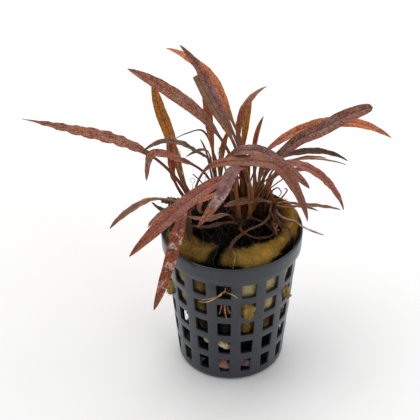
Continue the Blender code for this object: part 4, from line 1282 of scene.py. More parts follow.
@dataclass
class RockWool:
    """The rock wool plug: a strip wrapped round the roots with a seam at the front, and its stray fibres."""

    pot: NetPot
    stations: int = 460
    around: int = 120
    foot: float = 1.5
    foot_radius: float = 13.5
    side_heights: tuple[float, float, float] = (26.0, 32.0, 47.0)
    hollow_top: float = 46.5
    wall_gap: float = 0.7
    lip: float = 52.5
    crest: float = 56.0
    seam_deg: float = -108.0
    seam_half_deg: float = 0.5
    seam_round_deg: float = 4.0
    # Width of the painted shade in the seam, in degrees
    seam_shade_deg: float = 6.5
    slim: float = 4.6
    slim_deg: float = -166.0
    slim_over_deg: float = 32.0
    lump: float = 0.7
    hollow_foot_share: float = 0.62
    smoothings: int = 5
    fibres: int = 12000
    fibre_radius: float = 0.05
    fibre_stations: int = 5
    fibre_around: int = 3
    tuft_stations: int = 44
    tuft_around: int = 48
    tuft_fibres: int = 900
    # At each turn in degrees: the hollow's radius, the gap to the pot, how far the wool lies over the rim,
    # how much its crest rises, and how wet it is, a value that also holds painted shade and, below zero,
    # painted light
    edges: ClassVar[tuple[tuple[float, ...], ...]] = (
        (-180, 15, 0.8, 0, 0.3, 0.5), (-168, 14.4, 0, 1, 0.8, -0.15), (-150, 13, 0, 1, 0.6, -0.1),
        (-132, 10, 0.5, 0, 0.2, 0.22), (-114, 8.8, 0.6, 0, -0.3, 0.4), (-102, 9, 0.7, 0, -0.5, 0.5),
        (-86, 10, 0.7, 0, -0.1, 0.42), (-77, 11, 0.4, 0.5, 0.3, 0), (-65, 11.4, 0.2, 1, 0.6, -0.2),
        (-57, 11.6, 0.5, 0.4, 0.6, -0.2), (-49, 12.4, 0.85, 0.2, 0.5, -0.22),
        (-39, 13.6, 1.1, 0, 0.8, -0.2), (-21, 16, 0.85, 0.1, 1.4, -0.26), (-8, 17.4, 0.4, 0.6, 2.2, -0.36),
        (0, 17.8, 0.2, 1, 2.8, -0.4), (12, 18, 0, 1.3, 3.2, -0.42), (30, 18.4, 0, 1.2, 3, -0.36),
        (46, 19, 1.4, 0, 1, 0.3), (70, 17, 1.5, 0, 0, 0.85), (120, 16, 1.5, 0, 0, 0.95),
        (160, 15.6, 1.4, 0, 0, 0.8),
    )
    # At each turn in degrees: how wet the wool behind the windows is, a value that also holds painted shade.
    window_wetness_and_shading: ClassVar[tuple[tuple[float, float], ...]] = (
        (-165, 0.2), (-142, 0.34), (-120, 0.58), (-97, 0.8), (-88, 0.8), (-82, 0.02), (-52, 0.06),
        (-30, 0.16), (-8, 0.35), (60, 0.5), (120, 0.4),
    )
    # Each tuft's window column, its height, how far it hangs, and its size.
    tufts: ClassVar[tuple[tuple[int, float, float, float], ...]] = (
        (1, 34.6, 3.4, 2.3), (3, 34.8, 2.4, 1.9), (-3, 32.6, 3.4, 2.2),
    )

    @staticmethod
    def at_turn(table: Sequence[Sequence[float]], turn: Array, column: int) -> Array:
        """A column of a table at any turn, in straight steps between the turns in its first column."""
        rows = np.array(table)
        return np.interp(np.degrees(turn), rows[:, 0], rows[:, column], period=360.0)

    def hollow_radius(self, turn: Array, height: Array | float) -> Array:
        """Radius of the hollow round the pot's axis: that of its mouth, narrowing evenly downwards."""
        narrowing = self.hollow_foot_share + (1.0 - self.hollow_foot_share) * np.asarray(height) / self.crest
        return self.at_turn(self.edges, turn, 1) * narrowing

    def sections(self, turn: Array) -> Array:
        """The plug's outline at each angle, from the foot up and over the crest.

        Args:
            turn: The angles in radians.

        Returns:
            Thirteen radius and height points for each angle.
        """
        lump = 0.5 * np.sin(3 * turn + 0.8) + 0.3 * np.sin(5 * turn + 2.1) + 0.2 * np.sin(11 * turn)
        lump = self.lump * lump
        torn = lattice_noise(joined(turn * 9.0, 0.0, 0.0), 1.4, 6)
        gap, over, rise = (self.at_turn(self.edges, turn, column) for column in (2, 3, 4))
        gap = gap * (1.0 + 0.6 * torn)
        from_slim = (np.degrees(turn) + 180.0 - self.slim_deg) % 360.0 - 180.0
        slim = self.slim * np.exp(-((from_slim / self.slim_over_deg) ** 2))
        low, middle, high = self.side_heights
        side = [self.pot.wall_radius(z) - self.pot.wall - self.wall_gap for z in self.side_heights]
        outer = self.pot.wall_radius(self.lip) - self.pot.wall - gap
        inner = self.hollow_radius(turn, self.lip)
        rows = [
            (self.foot_radius, self.foot),
            ((self.foot_radius + side[0]) / 2.0 + 1.0 - slim, (self.foot + low) / 2.0),
            (side[0] - 0.35 * slim, low),
            (side[1], middle),
            (side[2] - 0.8 * np.maximum(gap - 1.0, 0.0), high),
            (outer, self.lip + 0.5 * lump),
            (outer - 0.9 + 1.7 * over, self.lip + 2.3 + 0.5 * lump + over),
            ((outer + inner) / 2.0 + 0.5 * over, self.crest + rise + lump),
            (inner + 1.2, self.lip + 1.2 + 0.5 * rise + lump),
            (inner, self.lip + 0.5 * lump),
            *((self.hollow_radius(turn, z), z) for z in (self.hollow_top, low, self.foot)),
        ]
        return np.stack([joined(radius, height + 0.0 * turn) for radius, height in rows], axis=1)

    def smooth_sections(self, turn: Array) -> Array:
        """The outline at each angle, closed, resampled at even steps and smoothed by a running mean.

        Args:
            turn: The angles in radians.

        Returns:
            Radius and height points for each angle.
        """
        ring = self.sections(turn)
        closed = np.concatenate([ring, ring[:, :1]], axis=1)
        run = np.cumsum(np.linalg.norm(np.diff(closed, axis=1), axis=2), axis=1)
        run = np.concatenate([np.zeros((len(turn), 1)), run], axis=1)
        knots = (run / run[:, -1:]).mean(axis=0)
        even = np.linspace(0.0, 1.0, self.around, endpoint=False)
        spot = np.clip(np.searchsorted(knots, even, side="right") - 1, 0, len(knots) - 2)
        t = ((even - knots[spot]) / (knots[spot + 1] - knots[spot]))[None, :, None]
        line = closed[:, spot] * (1.0 - t) + closed[:, spot + 1] * t
        for _ in range(self.smoothings):
            line = 0.5 * line + 0.25 * (np.roll(line, 1, axis=1) + np.roll(line, -1, axis=1))
        return line

    def push(self, points: Array, around: Array, outer: Array) -> Array:
        """How far the wool is moved out of its smooth outline.

        Noise moves it, inwards only where the pot's wall stands outside, and it is pushed out a little in the
        middle of each window.

        Args:
            points: The points of the smooth outline.
            around: The turn of each.
            outer: How far each faces the pot's wall.

        Returns:
            The way that each is moved, in millimetres.
        """
        height = points[..., 2]
        rough = 0.75 * layered_noise(points, 5.5, 3, 3) + 0.25 * layered_noise(points, 1.3, 2, 11)
        push = np.where(rough > 0.0, rough * (1.0 - outer), rough)
        below = self.pot.top_edge - height
        in_row = (below > 0.0) & (below < 3 * self.pot.pitch)
        up = (below % self.pot.pitch) / self.pot.window_height
        window = np.clip(1.0 - (self.pot.off_window(around) / (self.pot.column / 4.0)) ** 4, 0.0, 1.0)
        window = window * np.clip(4.0 * up * (1.0 - up), 0.0, 1.0) ** 0.5
        press = layered_noise(joined(around * 6.0, height, 0.0), 8.0, 2, 23)
        return push + outer * window * in_row * (1.15 + 0.7 * press)

    def wetness_and_shading(self, around: Array, height: Array, facing: Array, from_seam: Array) -> tuple[Array, Array]:
        """How wet the wool is, with painted shade and light in the same value, and its painted light on the
        outer side.

        Deep in the pot it is wet and in painted shade. Inside the hollow, in the seam, on its top's outer face
        towards the rim and where it hangs over the rim it is painted dark as shade, and it is a little darker
        on the crest's slope into the hollow. Otherwise it follows the tables, behind the windows and on the
        crest, whose values hold damp, painted shade and painted light. Its outer side is painted lighter as
        painted light.

        Args:
            around: The turn of each point.
            height: Its height.
            facing: How far it faces outwards and upwards.
            from_seam: The turn from each station to the seam, in degrees.

        Returns:
            The value for how wet it is, with its painted shade and light, and the share of painted light on its
            outer side.
        """
        # Behind the windows: wetness and painted shade by turn, and more of both below about 30 mm inside the
        # pot
        side_wet_and_shade = self.at_turn(self.window_wetness_and_shading, around, 1)
        side_wet_and_shade = side_wet_and_shade + (0.3 + 0.3 * (side_wet_and_shade < 0.3)) * (1.0 - smoothstep(height, 29.3, 30.6))
        top = smoothstep(height, 48.0, 51.0)
        outside = facing[..., 0]
        # Painted shade: the hollow's inner walls are pushed towards near black
        inwards = smoothstep(-outside, 0.35, 0.85) * (1.0 - smoothstep(height, 52.0, 54.5))
        # A little darker on the crest's slope into the hollow
        inner_slope = np.exp(-(((outside + 0.3) / 0.25) ** 2)) * top
        # Deep in the pot it turns near black: wet wool and painted shade of the pot's inside
        deep = 1.9 * (1.0 - smoothstep(height, 20.0, 23.0))
        # Painted shade in the seam's crease
        seam_crease_shade = np.exp(-((from_seam / self.seam_shade_deg) ** 2))[:, None]
        # Painted shade: the top's outer face towards the pot's rim is darkened, and more where it hangs over a
        # gap
        rim_gap_shade = smoothstep(outside, 0.45, 0.95) * top
        gap = self.at_turn(self.edges, around, 2)
        overhang_shade = smoothstep(gap, 0.4, 0.9) * smoothstep(outside, 0.76, 0.94) * top
        wetness_and_shading = side_wet_and_shade * (1.0 - top) + self.at_turn(self.edges, around, 5) * top + deep + 1.5 * inwards
        wetness_and_shading = wetness_and_shading + 0.9 * seam_crease_shade + 0.3 * rim_gap_shade + 0.16 * inner_slope + 1.3 * overhang_shade
        # The second value is painted light on the outer side below the crest
        return wetness_and_shading, smoothstep(outside, 0.2, 0.6) * (1.0 - top)

    def surface(self) -> tuple[Array, Array, Array, Array]:
        """The plug over the turn and round its section.

        Its ends at the seam shrink towards the section's middle as a quarter circle, so they are round. Each
        point is then moved along the line from that middle.

        Returns:
            The points as stations by around by x, y and z, where each faces, how wet it is with its painted
            shade and light, and its share of painted light on the outer side.
        """
        start = math.radians(self.seam_deg + self.seam_half_deg)
        end = math.radians(self.seam_deg + 360.0 - self.seam_half_deg)
        turn = np.linspace(start, end, self.stations)
        line = self.smooth_sections(turn)
        step = np.roll(line, -1, axis=1) - np.roll(line, 1, axis=1)
        facing = unit(joined(step[..., 1], -step[..., 0]))
        middle = line.mean(axis=1, keepdims=True)
        from_end = np.minimum(turn - start, end - turn) / math.radians(self.seam_round_deg)
        closing = np.sqrt(1.0 - (1.0 - np.clip(from_end + 0.004, 0.0, 1.0)) ** 2)
        line = middle + (line - middle) * closing[:, None, None]
        around = turn[:, None] + 0.0 * line[..., 0]
        outwards = unit(line - middle)
        outer = smoothstep(outwards[..., 0], 0.1, 0.6) * (1.0 - smoothstep(line[..., 1], 50.0, 53.5))
        push = self.push(about_axis(line[..., 0], around, line[..., 1]), around, outer)
        moved = line + outwards * push[..., None]
        height = moved[..., 1]
        wetness_and_shading, painted_window_light = self.wetness_and_shading(around, height, facing, from_end * self.seam_round_deg)
        points = about_axis(moved[..., 0], around, height)
        return points, about_axis(facing[..., 0], around, facing[..., 1]), wetness_and_shading, painted_window_light

    def build(self) -> None:
        """Builds the plug and its stray fibres."""
        points, facing, wetness_and_shading, painted_window_light = self.surface()
        material = WoolFinish().build("wool")
        state = joined(wetness_and_shading, painted_window_light, 0.0)
        add_rings("rock_wool_plug", points, material, "wool", "rock_wool", wool_state=state)
        self.build_fibres(points, facing, wetness_and_shading, material)
        self.build_tufts(material)

    def build_fibres(self, points: Array, facing: Array, wetness_and_shading: Array, material: Material) -> None:
        """Builds the plug's stray fibres, most of them on the crest, as one piece in front and one behind.

        Args:
            points: The plug's points, as stations by around by x, y and z.
            facing: The direction in which each faces.
            wetness_and_shading: The wetness of each.
            material: The wool's finish.
        """
        pick = np.random.default_rng(5)
        weight = smoothstep(points[..., 2], 50.0, 54.0) + 0.25 * (points[..., 2] > 22.0)
        weight = (weight * (1.0 - 0.96 * np.clip(wetness_and_shading, 0.0, 1.0))).ravel()
        chosen = pick.choice(weight.size, self.fibres, p=weight / weight.sum())
        foot = points.reshape(-1, 3)[chosen] + pick.normal(0.0, 0.12, (self.fibres, 3))
        reach = pick.uniform(0.5, 1.7, self.fibres) * (0.4 + 0.6 * smoothstep(foot[:, 2], 48.0, 53.0))
        away, wet = facing.reshape(-1, 3)[chosen], wetness_and_shading.ravel()[chosen]
        for side, some in zip(("front", "back"), np.array_split(np.argsort(foot[:, 1]), 2), strict=True):
            name = f"rock_wool_fibres_{side}"
            self.stray_fibres(name, foot[some], away[some], reach[some], wet[some], material)

    def stray_fibres(
        self, name: str, foot: Array, away: Array, reach: Array, wetness_and_shading: Array, material: Material
    ) -> None:
        """Builds short fibres, each bending from the surface's outward direction towards a random one.

        Args:
            name: Name of the piece.
            foot: Where each fibre starts.
            away: The surface's outward direction there.
            reach: The length of each.
            wetness_and_shading: The wetness of the wool there.
            material: The wool's finish.
        """
        pick = np.random.default_rng(len(foot))
        lean = unit(pick.normal(0.0, 1.0, foot.shape))
        share = np.linspace(0.0, 1.0, self.fibre_stations)[:, None]
        bend = unit(away + 0.7 * lean)[:, None]
        course = bend * (1.0 - 0.5 * share) + 0.6 * lean[:, None] * share
        paths = foot[:, None] - 0.15 * away[:, None] + reach[:, None, None] * share * course
        radii = self.fibre_radius * (1.0 - 0.75 * share[:, 0]) * np.ones((len(foot), 1))
        rings = tube_rings(paths, radii, self.fibre_around)
        state = joined(wetness_and_shading[:, None, None] - 0.3 + 0.0 * rings[..., 0], 0.0, 0.0)
        add_rings(name, rings, material, "wool", wool_state=state)

    def build_tufts(self, material: Material) -> None:
        """Builds the tufts that bulge out of three windows and hang over the ribs below them.

        Each is a round lump along a short path from inside the window outwards and down, roughened by noise.

        Args:
            material: The wool's finish.
        """
        for number, (column, height, hang, size) in enumerate(self.tufts):
            turn = math.radians(self.pot.turn_deg + 360.0 / self.pot.columns * column)
            out = np.array([math.cos(turn), math.sin(turn), 0.0])
            wall = self.pot.wall_radius(height)
            course = ((-3.0, 0.0), (-0.8, 0.0), (0.0, 0.5 * hang), (-0.1, hang))
            through = [out * (wall + far) + UP * (height - down) for far, down in course]
            path = smooth_path(through, self.tuft_stations)
            share = np.linspace(0.0, 1.0, len(path))
            bulge = np.sqrt(np.clip(1.0 - np.abs(2.0 * share - 1.0) ** 3.0, 0.002, 1.0))
            radii = size * bulge * (1.0 - 0.25 * share)
            rings = tube_rings(path[None], radii[None], self.tuft_around)
            away = unit(rings - path[:, None] + 1e-6)
            rings = rings + away * (0.9 * layered_noise(rings, 1.2, 3, 60 + number))[..., None]
            # The tufts are painted lighter as painted light: a value a little below dry, and a share of painted
            # window light
            state = joined(np.full(rings.shape[:-1], -0.12), 0.35, 0.0)
            add_rings(f"wool_tuft_{number}", rings, material, "wool", wool_state=state)
            points, away = rings.reshape(-1, 3), away.reshape(-1, 3)
            chosen = np.random.default_rng(number).choice(len(points), self.tuft_fibres)
            outside = chosen[points[chosen] @ out > wall]
            reach = np.random.default_rng(number + 9).uniform(0.4, 1.2, len(outside))
            wet = np.full(len(outside), 0.05)
            name = f"wool_tuft_{number}_fibres"
            self.stray_fibres(name, points[outside], away[outside], reach, wet, material)


@dataclass
class RootBall:
    """The mass of roots in the plug's hollow, with the roots that cross its top."""

    wool: RockWool
    foot: float = 1.5
    top: float = 47.0
    dome: float = 2.2
    around: int = 160
    side_rings: int = 60
    top_rings: int = 14
    root_stations: int = 22
    root_around: int = 7
    # Each kind's name, number, seed, drift in radians, longest span, radius and finish.
    kinds: ClassVar[tuple[tuple[str, int, int, float, float, float, RootFinish], ...]] = (
        ("root_ball_tangle", 90, 41, 0.28, 24.0, 0.22, RootFinish((52, 34, 26), (20, 14, 12), 0.45)),
        ("root_ball_hairs", 50, 43, 0.16, 16.0, 0.07, RootFinish((96, 84, 70), (50, 42, 36), 0.45)),
    )

    def surface(self) -> Array:
        """The ball as rings: a share of the hollow's radius at each height, domed on top, rough by noise."""
        heights = np.linspace(self.foot, self.top, self.side_rings)
        heights = np.concatenate([heights, np.full(self.top_rings, self.top)])[:, None]
        shares = np.linspace(1.0, 0.04, self.top_rings)
        shares = np.concatenate([np.ones(self.side_rings), shares])[:, None]
        turn = round_turns(self.around)
        radius = self.wool.hollow_radius(turn, heights) * shares - 0.8 * shares
        height = heights + np.where(shares < 1.0, self.dome * (1.0 - shares**2), 0.0)
        points = about_axis(radius, turn, height)
        rough = layered_noise(points, 3.0, 3, 31)[..., None]
        lift = 0.5 * about_axis(np.ones_like(turn), turn, 0.0) * (shares >= 1.0)[..., None]
        return points + rough * (lift + 0.9 * (shares < 1.0)[..., None] * UP)

    def tangle_paths(self, count: int, seed: int, wander: float, span: float) -> Array:
        """Paths of roots that wander over the ball's top, each held between the ball and the plug's crest.

        Each path starts near a crown's foot and goes outwards with a random turn that drifts along it.

        Args:
            count: Number of roots.
            seed: Picks the roots.
            wander: How much the turn drifts, in radians.
            span: Longest root, in millimetres.

        Returns:
            The paths, as roots by stations by x, y and z.
        """
        pick = np.random.default_rng(seed)
        steps = self.root_stations
        feet = np.array([crown.centre for crown in CROWNS.values()])
        foot = feet[pick.integers(0, len(feet), count)] + pick.normal(0.0, 1.6, (count, 3))
        foot[:, 2] = pick.uniform(49.0, 53.0, count)
        heading = pick.uniform(-np.pi, np.pi, (count, 1))
        heading = heading + np.cumsum(pick.normal(0.0, wander, (count, steps)), axis=1)
        length = pick.uniform(0.45, 1.0, (count, 1)) * span / steps
        x = foot[:, :1] + np.cumsum(np.cos(heading) * length, axis=1)
        y = foot[:, 1:2] + np.cumsum(np.sin(heading) * length, axis=1)
        reach = np.hypot(x, y)
        limit = self.wool.hollow_radius(np.arctan2(y, x), 50.0) - 0.6
        shrink = np.where(reach > limit, limit / np.maximum(reach, 1e-6), 1.0)
        share = np.linspace(0.0, 1.0, steps)
        hump = pick.uniform(0.0, 2.6, (count, 1)) * np.sin(np.pi * share * pick.uniform(0.7, 2.4, (count, 1)))
        z = foot[:, 2:] * (1.0 - share) + 49.6 * share + hump + 0.3 * pick.normal(0.0, 1.0, (count, 1))
        return joined(x * shrink, y * shrink, np.maximum(z, 48.6))

    def build(self) -> None:
        """Builds the ball, its tangle of roots and the pale hairs over it."""
        # The mass is near black, partly the roots' own dark colour and partly painted shade of the hollow
        dark = RootFinish((14, 9, 8), (4, 3, 3), 0.8, 1.6, 0.1).build("root_mass")
        add_rings("root_ball_mass", self.surface(), dark, "root_mass", "root_ball")
        for name, count, seed, wander, span, radius, finish in self.kinds:
            paths = self.tangle_paths(count, seed, wander, span)
            sizes = np.random.default_rng(seed).uniform(0.5, 1.25, (count, 1)) * radius
            radii = sizes * np.linspace(1.0, 0.35, self.root_stations)
            rings = tube_rings(paths, radii, self.root_around)
            add_rings(name, rings, finish.build(name), "root_mass")


@dataclass
class Crowns:
    """The rhizomes: ringed, lumpy and brown, each hidden by its rosette."""

    stations: int = 40
    around: int = 36

    def build(self) -> None:
        """Builds each crown: rings whose radius follows an ellipse, with leaf scars as a quick sine."""
        finish = RootFinish((70, 46, 30), (32, 22, 17), 0.65, 1.2).build("rhizome")
        share = np.linspace(-0.999, 0.999, self.stations)
        scars = 1.0 + 0.04 * np.sin(14.0 * share * CROWN_STRETCH)
        for number, (name, crown) in enumerate(CROWNS.items()):
            centre = np.array(crown.centre)
            path = centre + np.outer(share * (crown.radius * CROWN_STRETCH), UP)
            radii = crown.radius * np.sqrt(1.0 - share**2) * scars
            rings = tube_rings(path[None], radii[None], self.around)
            rough = layered_noise(rings, 1.6, 2, number)[..., None]
            rings = rings + 0.16 * rough * unit(rings - centre)
            add_rings(f"crown_{name}_rhizome", rings, finish, "rhizome", f"crown_{name}")


@dataclass(frozen=True)
class Strand:
    """One listed root: the points that it passes through, its radius at both ends, and its colour."""

    points: tuple[Triple, ...]
    radius: float
    tip: float
    look: str = "tan"
    stands_for: str | None = None


STRANDS: dict[str, Strand] = {
    # Roots that come out of the windows at the front
    "root_window_left_strand": Strand(((-3.4, -21.9, 43), (-3.8, -23.4, 43.3), (-6, -24.6, 42.4),
        (-9, -25, 41.2), (-11.5, -24.6, 41.2)), 0.26, 0.12, "straw", "root_window_left"),
    "root_window_right_strand": Strand(((-2, -21.9, 43.2), (-1.6, -23.4, 44), (0.3, -24.2, 43.6),
        (2, -24.4, 42.3)), 0.24, 0.1, "straw", "root_window_right"),
    "root_window_second": Strand(((-2.2, -21.8, 43.5), (-3.4, -23.3, 43.9), (-5.4, -24.4, 43.1),
        (-8.2, -24.6, 42.3), (-10.4, -24.8, 42.2)), 0.15, 0.08, "straw"),
    "root_window_up": Strand(((-2.9, -21.8, 43), (-2.8, -23.6, 44.2), (-2.5, -24.3, 45.6),
        (-2.4, -24.3, 46.9)), 0.18, 0.07, "straw"),
    "root_window_short_left": Strand(((-3.4, -20.8, 37.3), (-3.9, -22.2, 36), (-4.4, -22.9, 34.2)), 0.3, 0.14,
        "pink"),
    "root_window_short_middle": Strand(((-2.6, -20.8, 37.2), (-2.6, -22.4, 36), (-2.2, -23.3, 33.8),
        (-1.9, -23.5, 32.4)), 0.34, 0.18, "pink"),
    "root_window_short_right": Strand(((-1.9, -20.8, 37), (-1.3, -22.2, 35.8), (-0.7, -22.8, 34.4)), 0.26,
        0.12, "tan"),
    # Thick roots over the plug at the right
    "root_side_strand": Strand(((13.9, 5, 56.6), (13.6, 2, 56.2), (14.4, -1.5, 56.9), (15, -5.5, 57.7),
        (15.6, -9, 57.5)), 0.42, 0.25, "brown", "root_side"),
    "root_curl_strand": Strand(((17.4, 10.4, 58), (18.4, 12.4, 59.2), (19.6, 13.6, 60.2), (19.8, 13.4, 61.6),
        (18.6, 13, 62.1)), 0.34, 0.2, "mauve", "root_curl"),
    "root_zigzag": Strand(((14, 6.4, 59.6), (13.6, 4, 58.4), (15.2, 2, 57.4), (14.4, 0, 56.8),
        (15.8, -2, 56.9), (15.3, -3.8, 56.6), (16.5, -5, 57)), 0.42, 0.2, "pink"),
    "root_zigzag_branch": Strand(((13.6, 4.2, 58.6), (14.6, 1.2, 57.8), (16.6, -2.6, 57.8),
        (17.8, -5.6, 57.4), (18.2, -8.5, 56.6)), 0.3, 0.14, "brown"),
    "root_ring": Strand(((14.2, 14.2, 58.6), (14.8, 14.4, 60.5), (16.1, 14.2, 61.6), (17.6, 14, 60),
        (17, 13.8, 58.2)), 0.28, 0.18, "brown"),
    "root_dark_curl": Strand(((12.6, 11, 59.6), (12.6, 12.6, 63.2), (11.2, 13, 63.8), (10, 12.6, 62.4),
        (9.9, 12.4, 60.6)), 0.3, 0.2, "dark"),
    "root_dark_loop": Strand(((9.6, 9, 60.4), (10.6, 8.2, 62), (12.4, 8, 61.4), (12.4, 8.4, 59.4)), 0.28,
        0.16, "dark"),
    # Tendrils among the stalks at the left
    "root_tendril_low": Strand(((-13.4, 7.2, 64), (-13.8, 7.8, 67), (-13, 8.4, 69.4), (-14.4, 8.8, 69.2),
        (-14.2, 8.6, 67.6)), 0.12, 0.07, "tan"),
    "root_tendril_high": Strand(((-8, 9.4, 64), (-9.4, 9.6, 68), (-8.6, 10, 71), (-7.2, 10.4, 72.4),
        (-6.8, 10.2, 70.8)), 0.12, 0.07, "tan"),
    # Hairs on the plug at the front
    "root_hair_front": Strand(((-0.1, -16.4, 57), (1, -19, 56.6), (0.6, -21.4, 55.6), (0.2, -22.4, 53.8)),
        0.14, 0.06, "straw"),
    "root_hair_seam": Strand(((-6.4, -13.4, 57), (-5.4, -17.4, 56.9), (-6.6, -20.4, 55.8), (-6, -22.2, 54.2)),
        0.1, 0.05, "dark"),
}


@dataclass
class LooseRoots:
    """The roots that show outside the root ball."""

    stations: int = 60
    around: int = 12
    looks: ClassVar[dict[str, RootFinish]] = {
        "straw": RootFinish((214, 178, 116), (168, 124, 66)),
        "tan": RootFinish((176, 140, 92), (116, 84, 52)),
        "pink": RootFinish((186, 122, 100), (118, 66, 52)),
        "brown": RootFinish((128, 78, 54), (78, 46, 34)),
        "mauve": RootFinish((150, 112, 104), (92, 60, 52)),
        "dark": RootFinish((56, 46, 42), (26, 22, 20)),
    }

    def build(self) -> None:
        """Builds each root as a tube that thins towards its tip, a little uneven along it."""
        finishes = {look: finish.build(f"root_{look}") for look, finish in self.looks.items()}
        share = np.linspace(0.0, 1.0, self.stations)
        for seed, (name, strand) in enumerate(STRANDS.items()):
            path = smooth_path(strand.points, self.stations)
            wobble = joined(*(lattice_noise(path, 1.5, seed + 3 * k) for k in range(3)))
            path = path + 0.5 * strand.radius * wobble
            knobs = 1.0 + 0.22 * layered_noise(path, 1.0, 2, seed)
            radii = (strand.radius + (strand.tip - strand.radius) * share) * knobs
            rings = tube_rings(path[None], radii[None], self.around)
            add_rings(name, rings, finishes[strand.look], "root", strand.stands_for)


@dataclass(frozen=True)
class CurlCluster:
    """A cluster of curled root ends: its middle and half-sizes, the curls' number and sizes, and their look."""

    centre: Triple
    spread: Triple
    count: int
    curl: float
    radius: float
    look: str


CURLS: dict[str, CurlCluster] = {
    "curls_on_rim": CurlCluster((-20.6, 11.4, 57.6), (3.6, 1.6, 1.2), 44, 0.7, 0.55, "moss"),
    "curls_on_rim_left": CurlCluster((-23.6, 10.0, 59.0), (1.6, 1.0, 0.8), 10, 0.6, 0.45, "moss"),
    "curls_by_side_crown": CurlCluster((11.6, 9.6, 61.4), (1.3, 1.0, 1.9), 18, 0.9, 0.22, "dark"),
    "curls_among_stalks": CurlCluster((-4.4, 11.0, 78.4), (0.7, 0.7, 1.4), 9, 0.5, 0.1, "straw"),
    "curls_left_hollow": CurlCluster((-9.6, 4.6, 58.6), (3.2, 1.8, 1.8), 30, 1.0, 0.16, "brown"),
}


@dataclass
class CurledRoots:
    """The clusters of curled root ends on the rim and between the stalks."""

    stations: int = 16
    around: int = 8
    looks: ClassVar[dict[str, RootFinish]] = {
        "moss": RootFinish((140, 130, 108), (66, 60, 50)),
        "dark": RootFinish((66, 52, 44), (24, 19, 17)),
        "straw": RootFinish((214, 196, 130), (150, 120, 66)),
        "brown": RootFinish((118, 82, 62), (48, 32, 26)),
    }

    def build(self) -> None:
        """Builds each cluster: arcs of a circle in random planes that open into a spiral."""
        finishes = {look: finish.build(f"curls_{look}") for look, finish in self.looks.items()}
        share = np.linspace(0.0, 1.0, self.stations)
        for seed, (name, cluster) in enumerate(CURLS.items()):
            pick = np.random.default_rng(70 + seed)
            count = cluster.count
            off_middle = np.clip(pick.normal(0, 0.55, (count, 3)), -1, 1)
            middle = np.array(cluster.centre) + np.array(cluster.spread) * off_middle
            first = unit(pick.normal(0.0, 1.0, (count, 3)))[:, None]
            second = unit(np.cross(first, pick.normal(0.0, 1.0, (count, 3))[:, None]))
            turn = (pick.uniform(1.6, 5.2, (count, 1)) * share)[..., None]
            open_out = cluster.curl * pick.uniform(0.4, 1.0, (count, 1)) * (0.5 + 0.8 * share)
            paths = middle[:, None] + open_out[..., None] * (np.cos(turn) * first + np.sin(turn) * second)
            radii = cluster.radius * pick.uniform(0.6, 1.2, (count, 1)) * (1.0 - 0.5 * share)
            add_rings(name, tube_rings(paths, radii, self.around), finishes[cluster.look], "root")


@dataclass
class WindowLumps:
    """The pale and the pinkish root lumps that show behind the lower windows."""

    stations: int = 30
    around: int = 36
    # Each lump's two ends, its radius and its look.
    lumps: ClassVar[dict[str, tuple[Triple, Triple, float, str]]] = {
        "lump_cream": ((-4.8, -17.5, 17.8), (-0.8, -17.9, 16.0), 2.1, "cream"),
        "lump_cream_left": ((-9.8, -16.3, 20.2), (-8.0, -17.5, 17.4), 1.2, "cream"),
        "lump_pink": ((-4.8, -16.9, 7.6), (-1.0, -17.1, 6.2), 2.1, "pink"),
        "lump_pink_right": ((2.6, -16.9, 7.8), (6.4, -16.1, 6.4), 2.1, "dull"),
    }
    looks: ClassVar[dict[str, RootFinish]] = {
        "cream": RootFinish((206, 192, 158), (140, 118, 80)),
        "pink": RootFinish((150, 106, 88), (92, 62, 52)),
        "dull": RootFinish((120, 92, 86), (60, 46, 44)),
    }

    def build(self) -> None:
        """Builds each lump as an ellipse's rings along a short line, roughened by noise."""
        finishes = {look: finish.build(f"lump_{look}") for look, finish in self.looks.items()}
        share = np.linspace(-0.999, 0.999, self.stations)
        for seed, (name, (start, end, radius, look)) in enumerate(self.lumps.items()):
            middle, reach = (np.array(start) + np.array(end)) / 2.0, (np.array(end) - np.array(start)) / 2.0
            path = middle + np.outer(share, reach * (1.0 + radius / np.linalg.norm(reach)))
            rings = tube_rings(path[None], (radius * np.sqrt(1.0 - share**2))[None], self.around)
            rough = layered_noise(rings, 1.8, 3, 80 + seed)[..., None]
            add_rings(name, rings + 0.3 * rough * unit(rings - middle), finishes[look], "root_mass")


# The studio


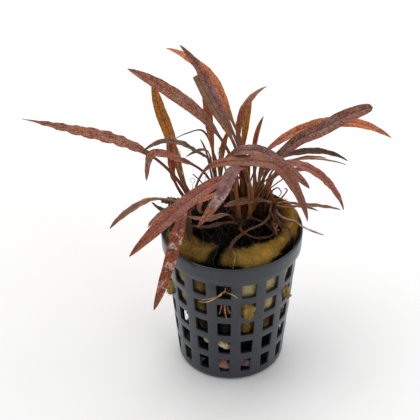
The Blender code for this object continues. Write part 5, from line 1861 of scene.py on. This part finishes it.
@dataclass
class Studio:
    """A pale floor, soft lights and the camera at the photograph's angle."""

    focal_px: float = 1800.0
    frame_px: float = 420.0
    sensor: float = 36.0
    distance: float = 628.0
    elevation_deg: float = 36.4
    target: Triple = (-7.66, 0.0, 62.2)
    floor_half: float = 3000.0
    floor_height: float = -0.05
    surroundings: float = 0.34
    lights_aim: Triple = (0.0, 0.0, 0.06)
    # Each light's place in metres, its side in metres, its power in watts and its colour.
    lights: ClassVar[dict[str, tuple[Triple, float, float, Triple]]] = {
        "key": ((-0.25, 0.1, 0.8), 0.7, 3.35, (1.0, 0.99, 0.98)),
        "fill": ((0.5, -0.5, 0.45), 0.5, 1.1, (0.98, 0.99, 1.0)),
        "back": ((0.1, 0.6, 0.5), 0.7, 2.2, (1.0, 1.0, 1.0)),
        "side": ((0.6, 0.1, 0.55), 0.6, 1.1, (1.0, 1.0, 1.0)),
    }

    def build(self) -> None:
        """Sets up the camera, the floor, the lights and the surroundings."""
        self.make_camera()
        self.make_floor()
        self.make_lights()
        world = bpy.data.worlds.new("surroundings")
        world.use_nodes = True
        shade = world.node_tree.nodes["Background"]
        shade.inputs["Color"].default_value = (1.0, 1.0, 1.0, 1.0)
        shade.inputs["Strength"].default_value = self.surroundings
        bpy.context.scene.world = world
        bpy.context.scene.view_settings.view_transform = "Standard"

    def make_camera(self) -> None:
        """Makes the camera, which looks along +Y and down at the plant."""
        lens = bpy.data.cameras.new("camera")
        lens.sensor_width = self.sensor
        lens.lens = self.focal_px / self.frame_px * lens.sensor_width
        lens.clip_start = 0.01
        lens.clip_end = 20.0
        camera = bpy.data.objects.new("camera", lens)
        rise = math.radians(self.elevation_deg)
        back = Vector((0.0, -math.cos(rise), math.sin(rise)))
        camera.location = (Vector(self.target) + back * self.distance) * MM
        camera.rotation_euler = (-back).to_track_quat("-Z", "Y").to_euler()
        bpy.context.scene.collection.objects.link(camera)
        bpy.context.scene.camera = camera

    def make_floor(self) -> None:
        """Makes the floor, a plain pale sheet just under the pot."""
        corners = np.array([[-1, -1, 0], [1, -1, 0], [1, 1, 0], [-1, 1, 0]]) * self.floor_half
        mesh = make_mesh("floor", corners + UP * self.floor_height, [np.array([[0, 1, 2, 3]])], closed=False)
        mesh.materials.append(FloorFinish().build("floor"))
        floor = bpy.data.objects.new("floor", mesh)
        bpy.context.scene.collection.objects.link(floor)

    def make_lights(self) -> None:
        """Makes the square soft lights, which face the plant."""
        for name, (place, size, power, colour) in self.lights.items():
            light = bpy.data.lights.new(name, "AREA")
            light.size = size
            light.energy = power
            light.color = colour
            lamp = bpy.data.objects.new(name, light)
            lamp.location = place
            aim = Vector(self.lights_aim) - Vector(place)
            lamp.rotation_euler = aim.to_track_quat("-Z", "Y").to_euler()
            bpy.context.scene.collection.objects.link(lamp)


def main() -> None:
    """Builds the studio and the plant, from the pot up."""
    logging.basicConfig(level=logging.INFO, format="%(message)s")
    pot = NetPot()
    wool = RockWool(pot)
    for part in (
        Studio(), pot, wool, RootBall(wool), Crowns(), Foliage(), LooseRoots(), CurledRoots(), WindowLumps()
    ):
        part.build()


if __name__ == "__main__":
    main()
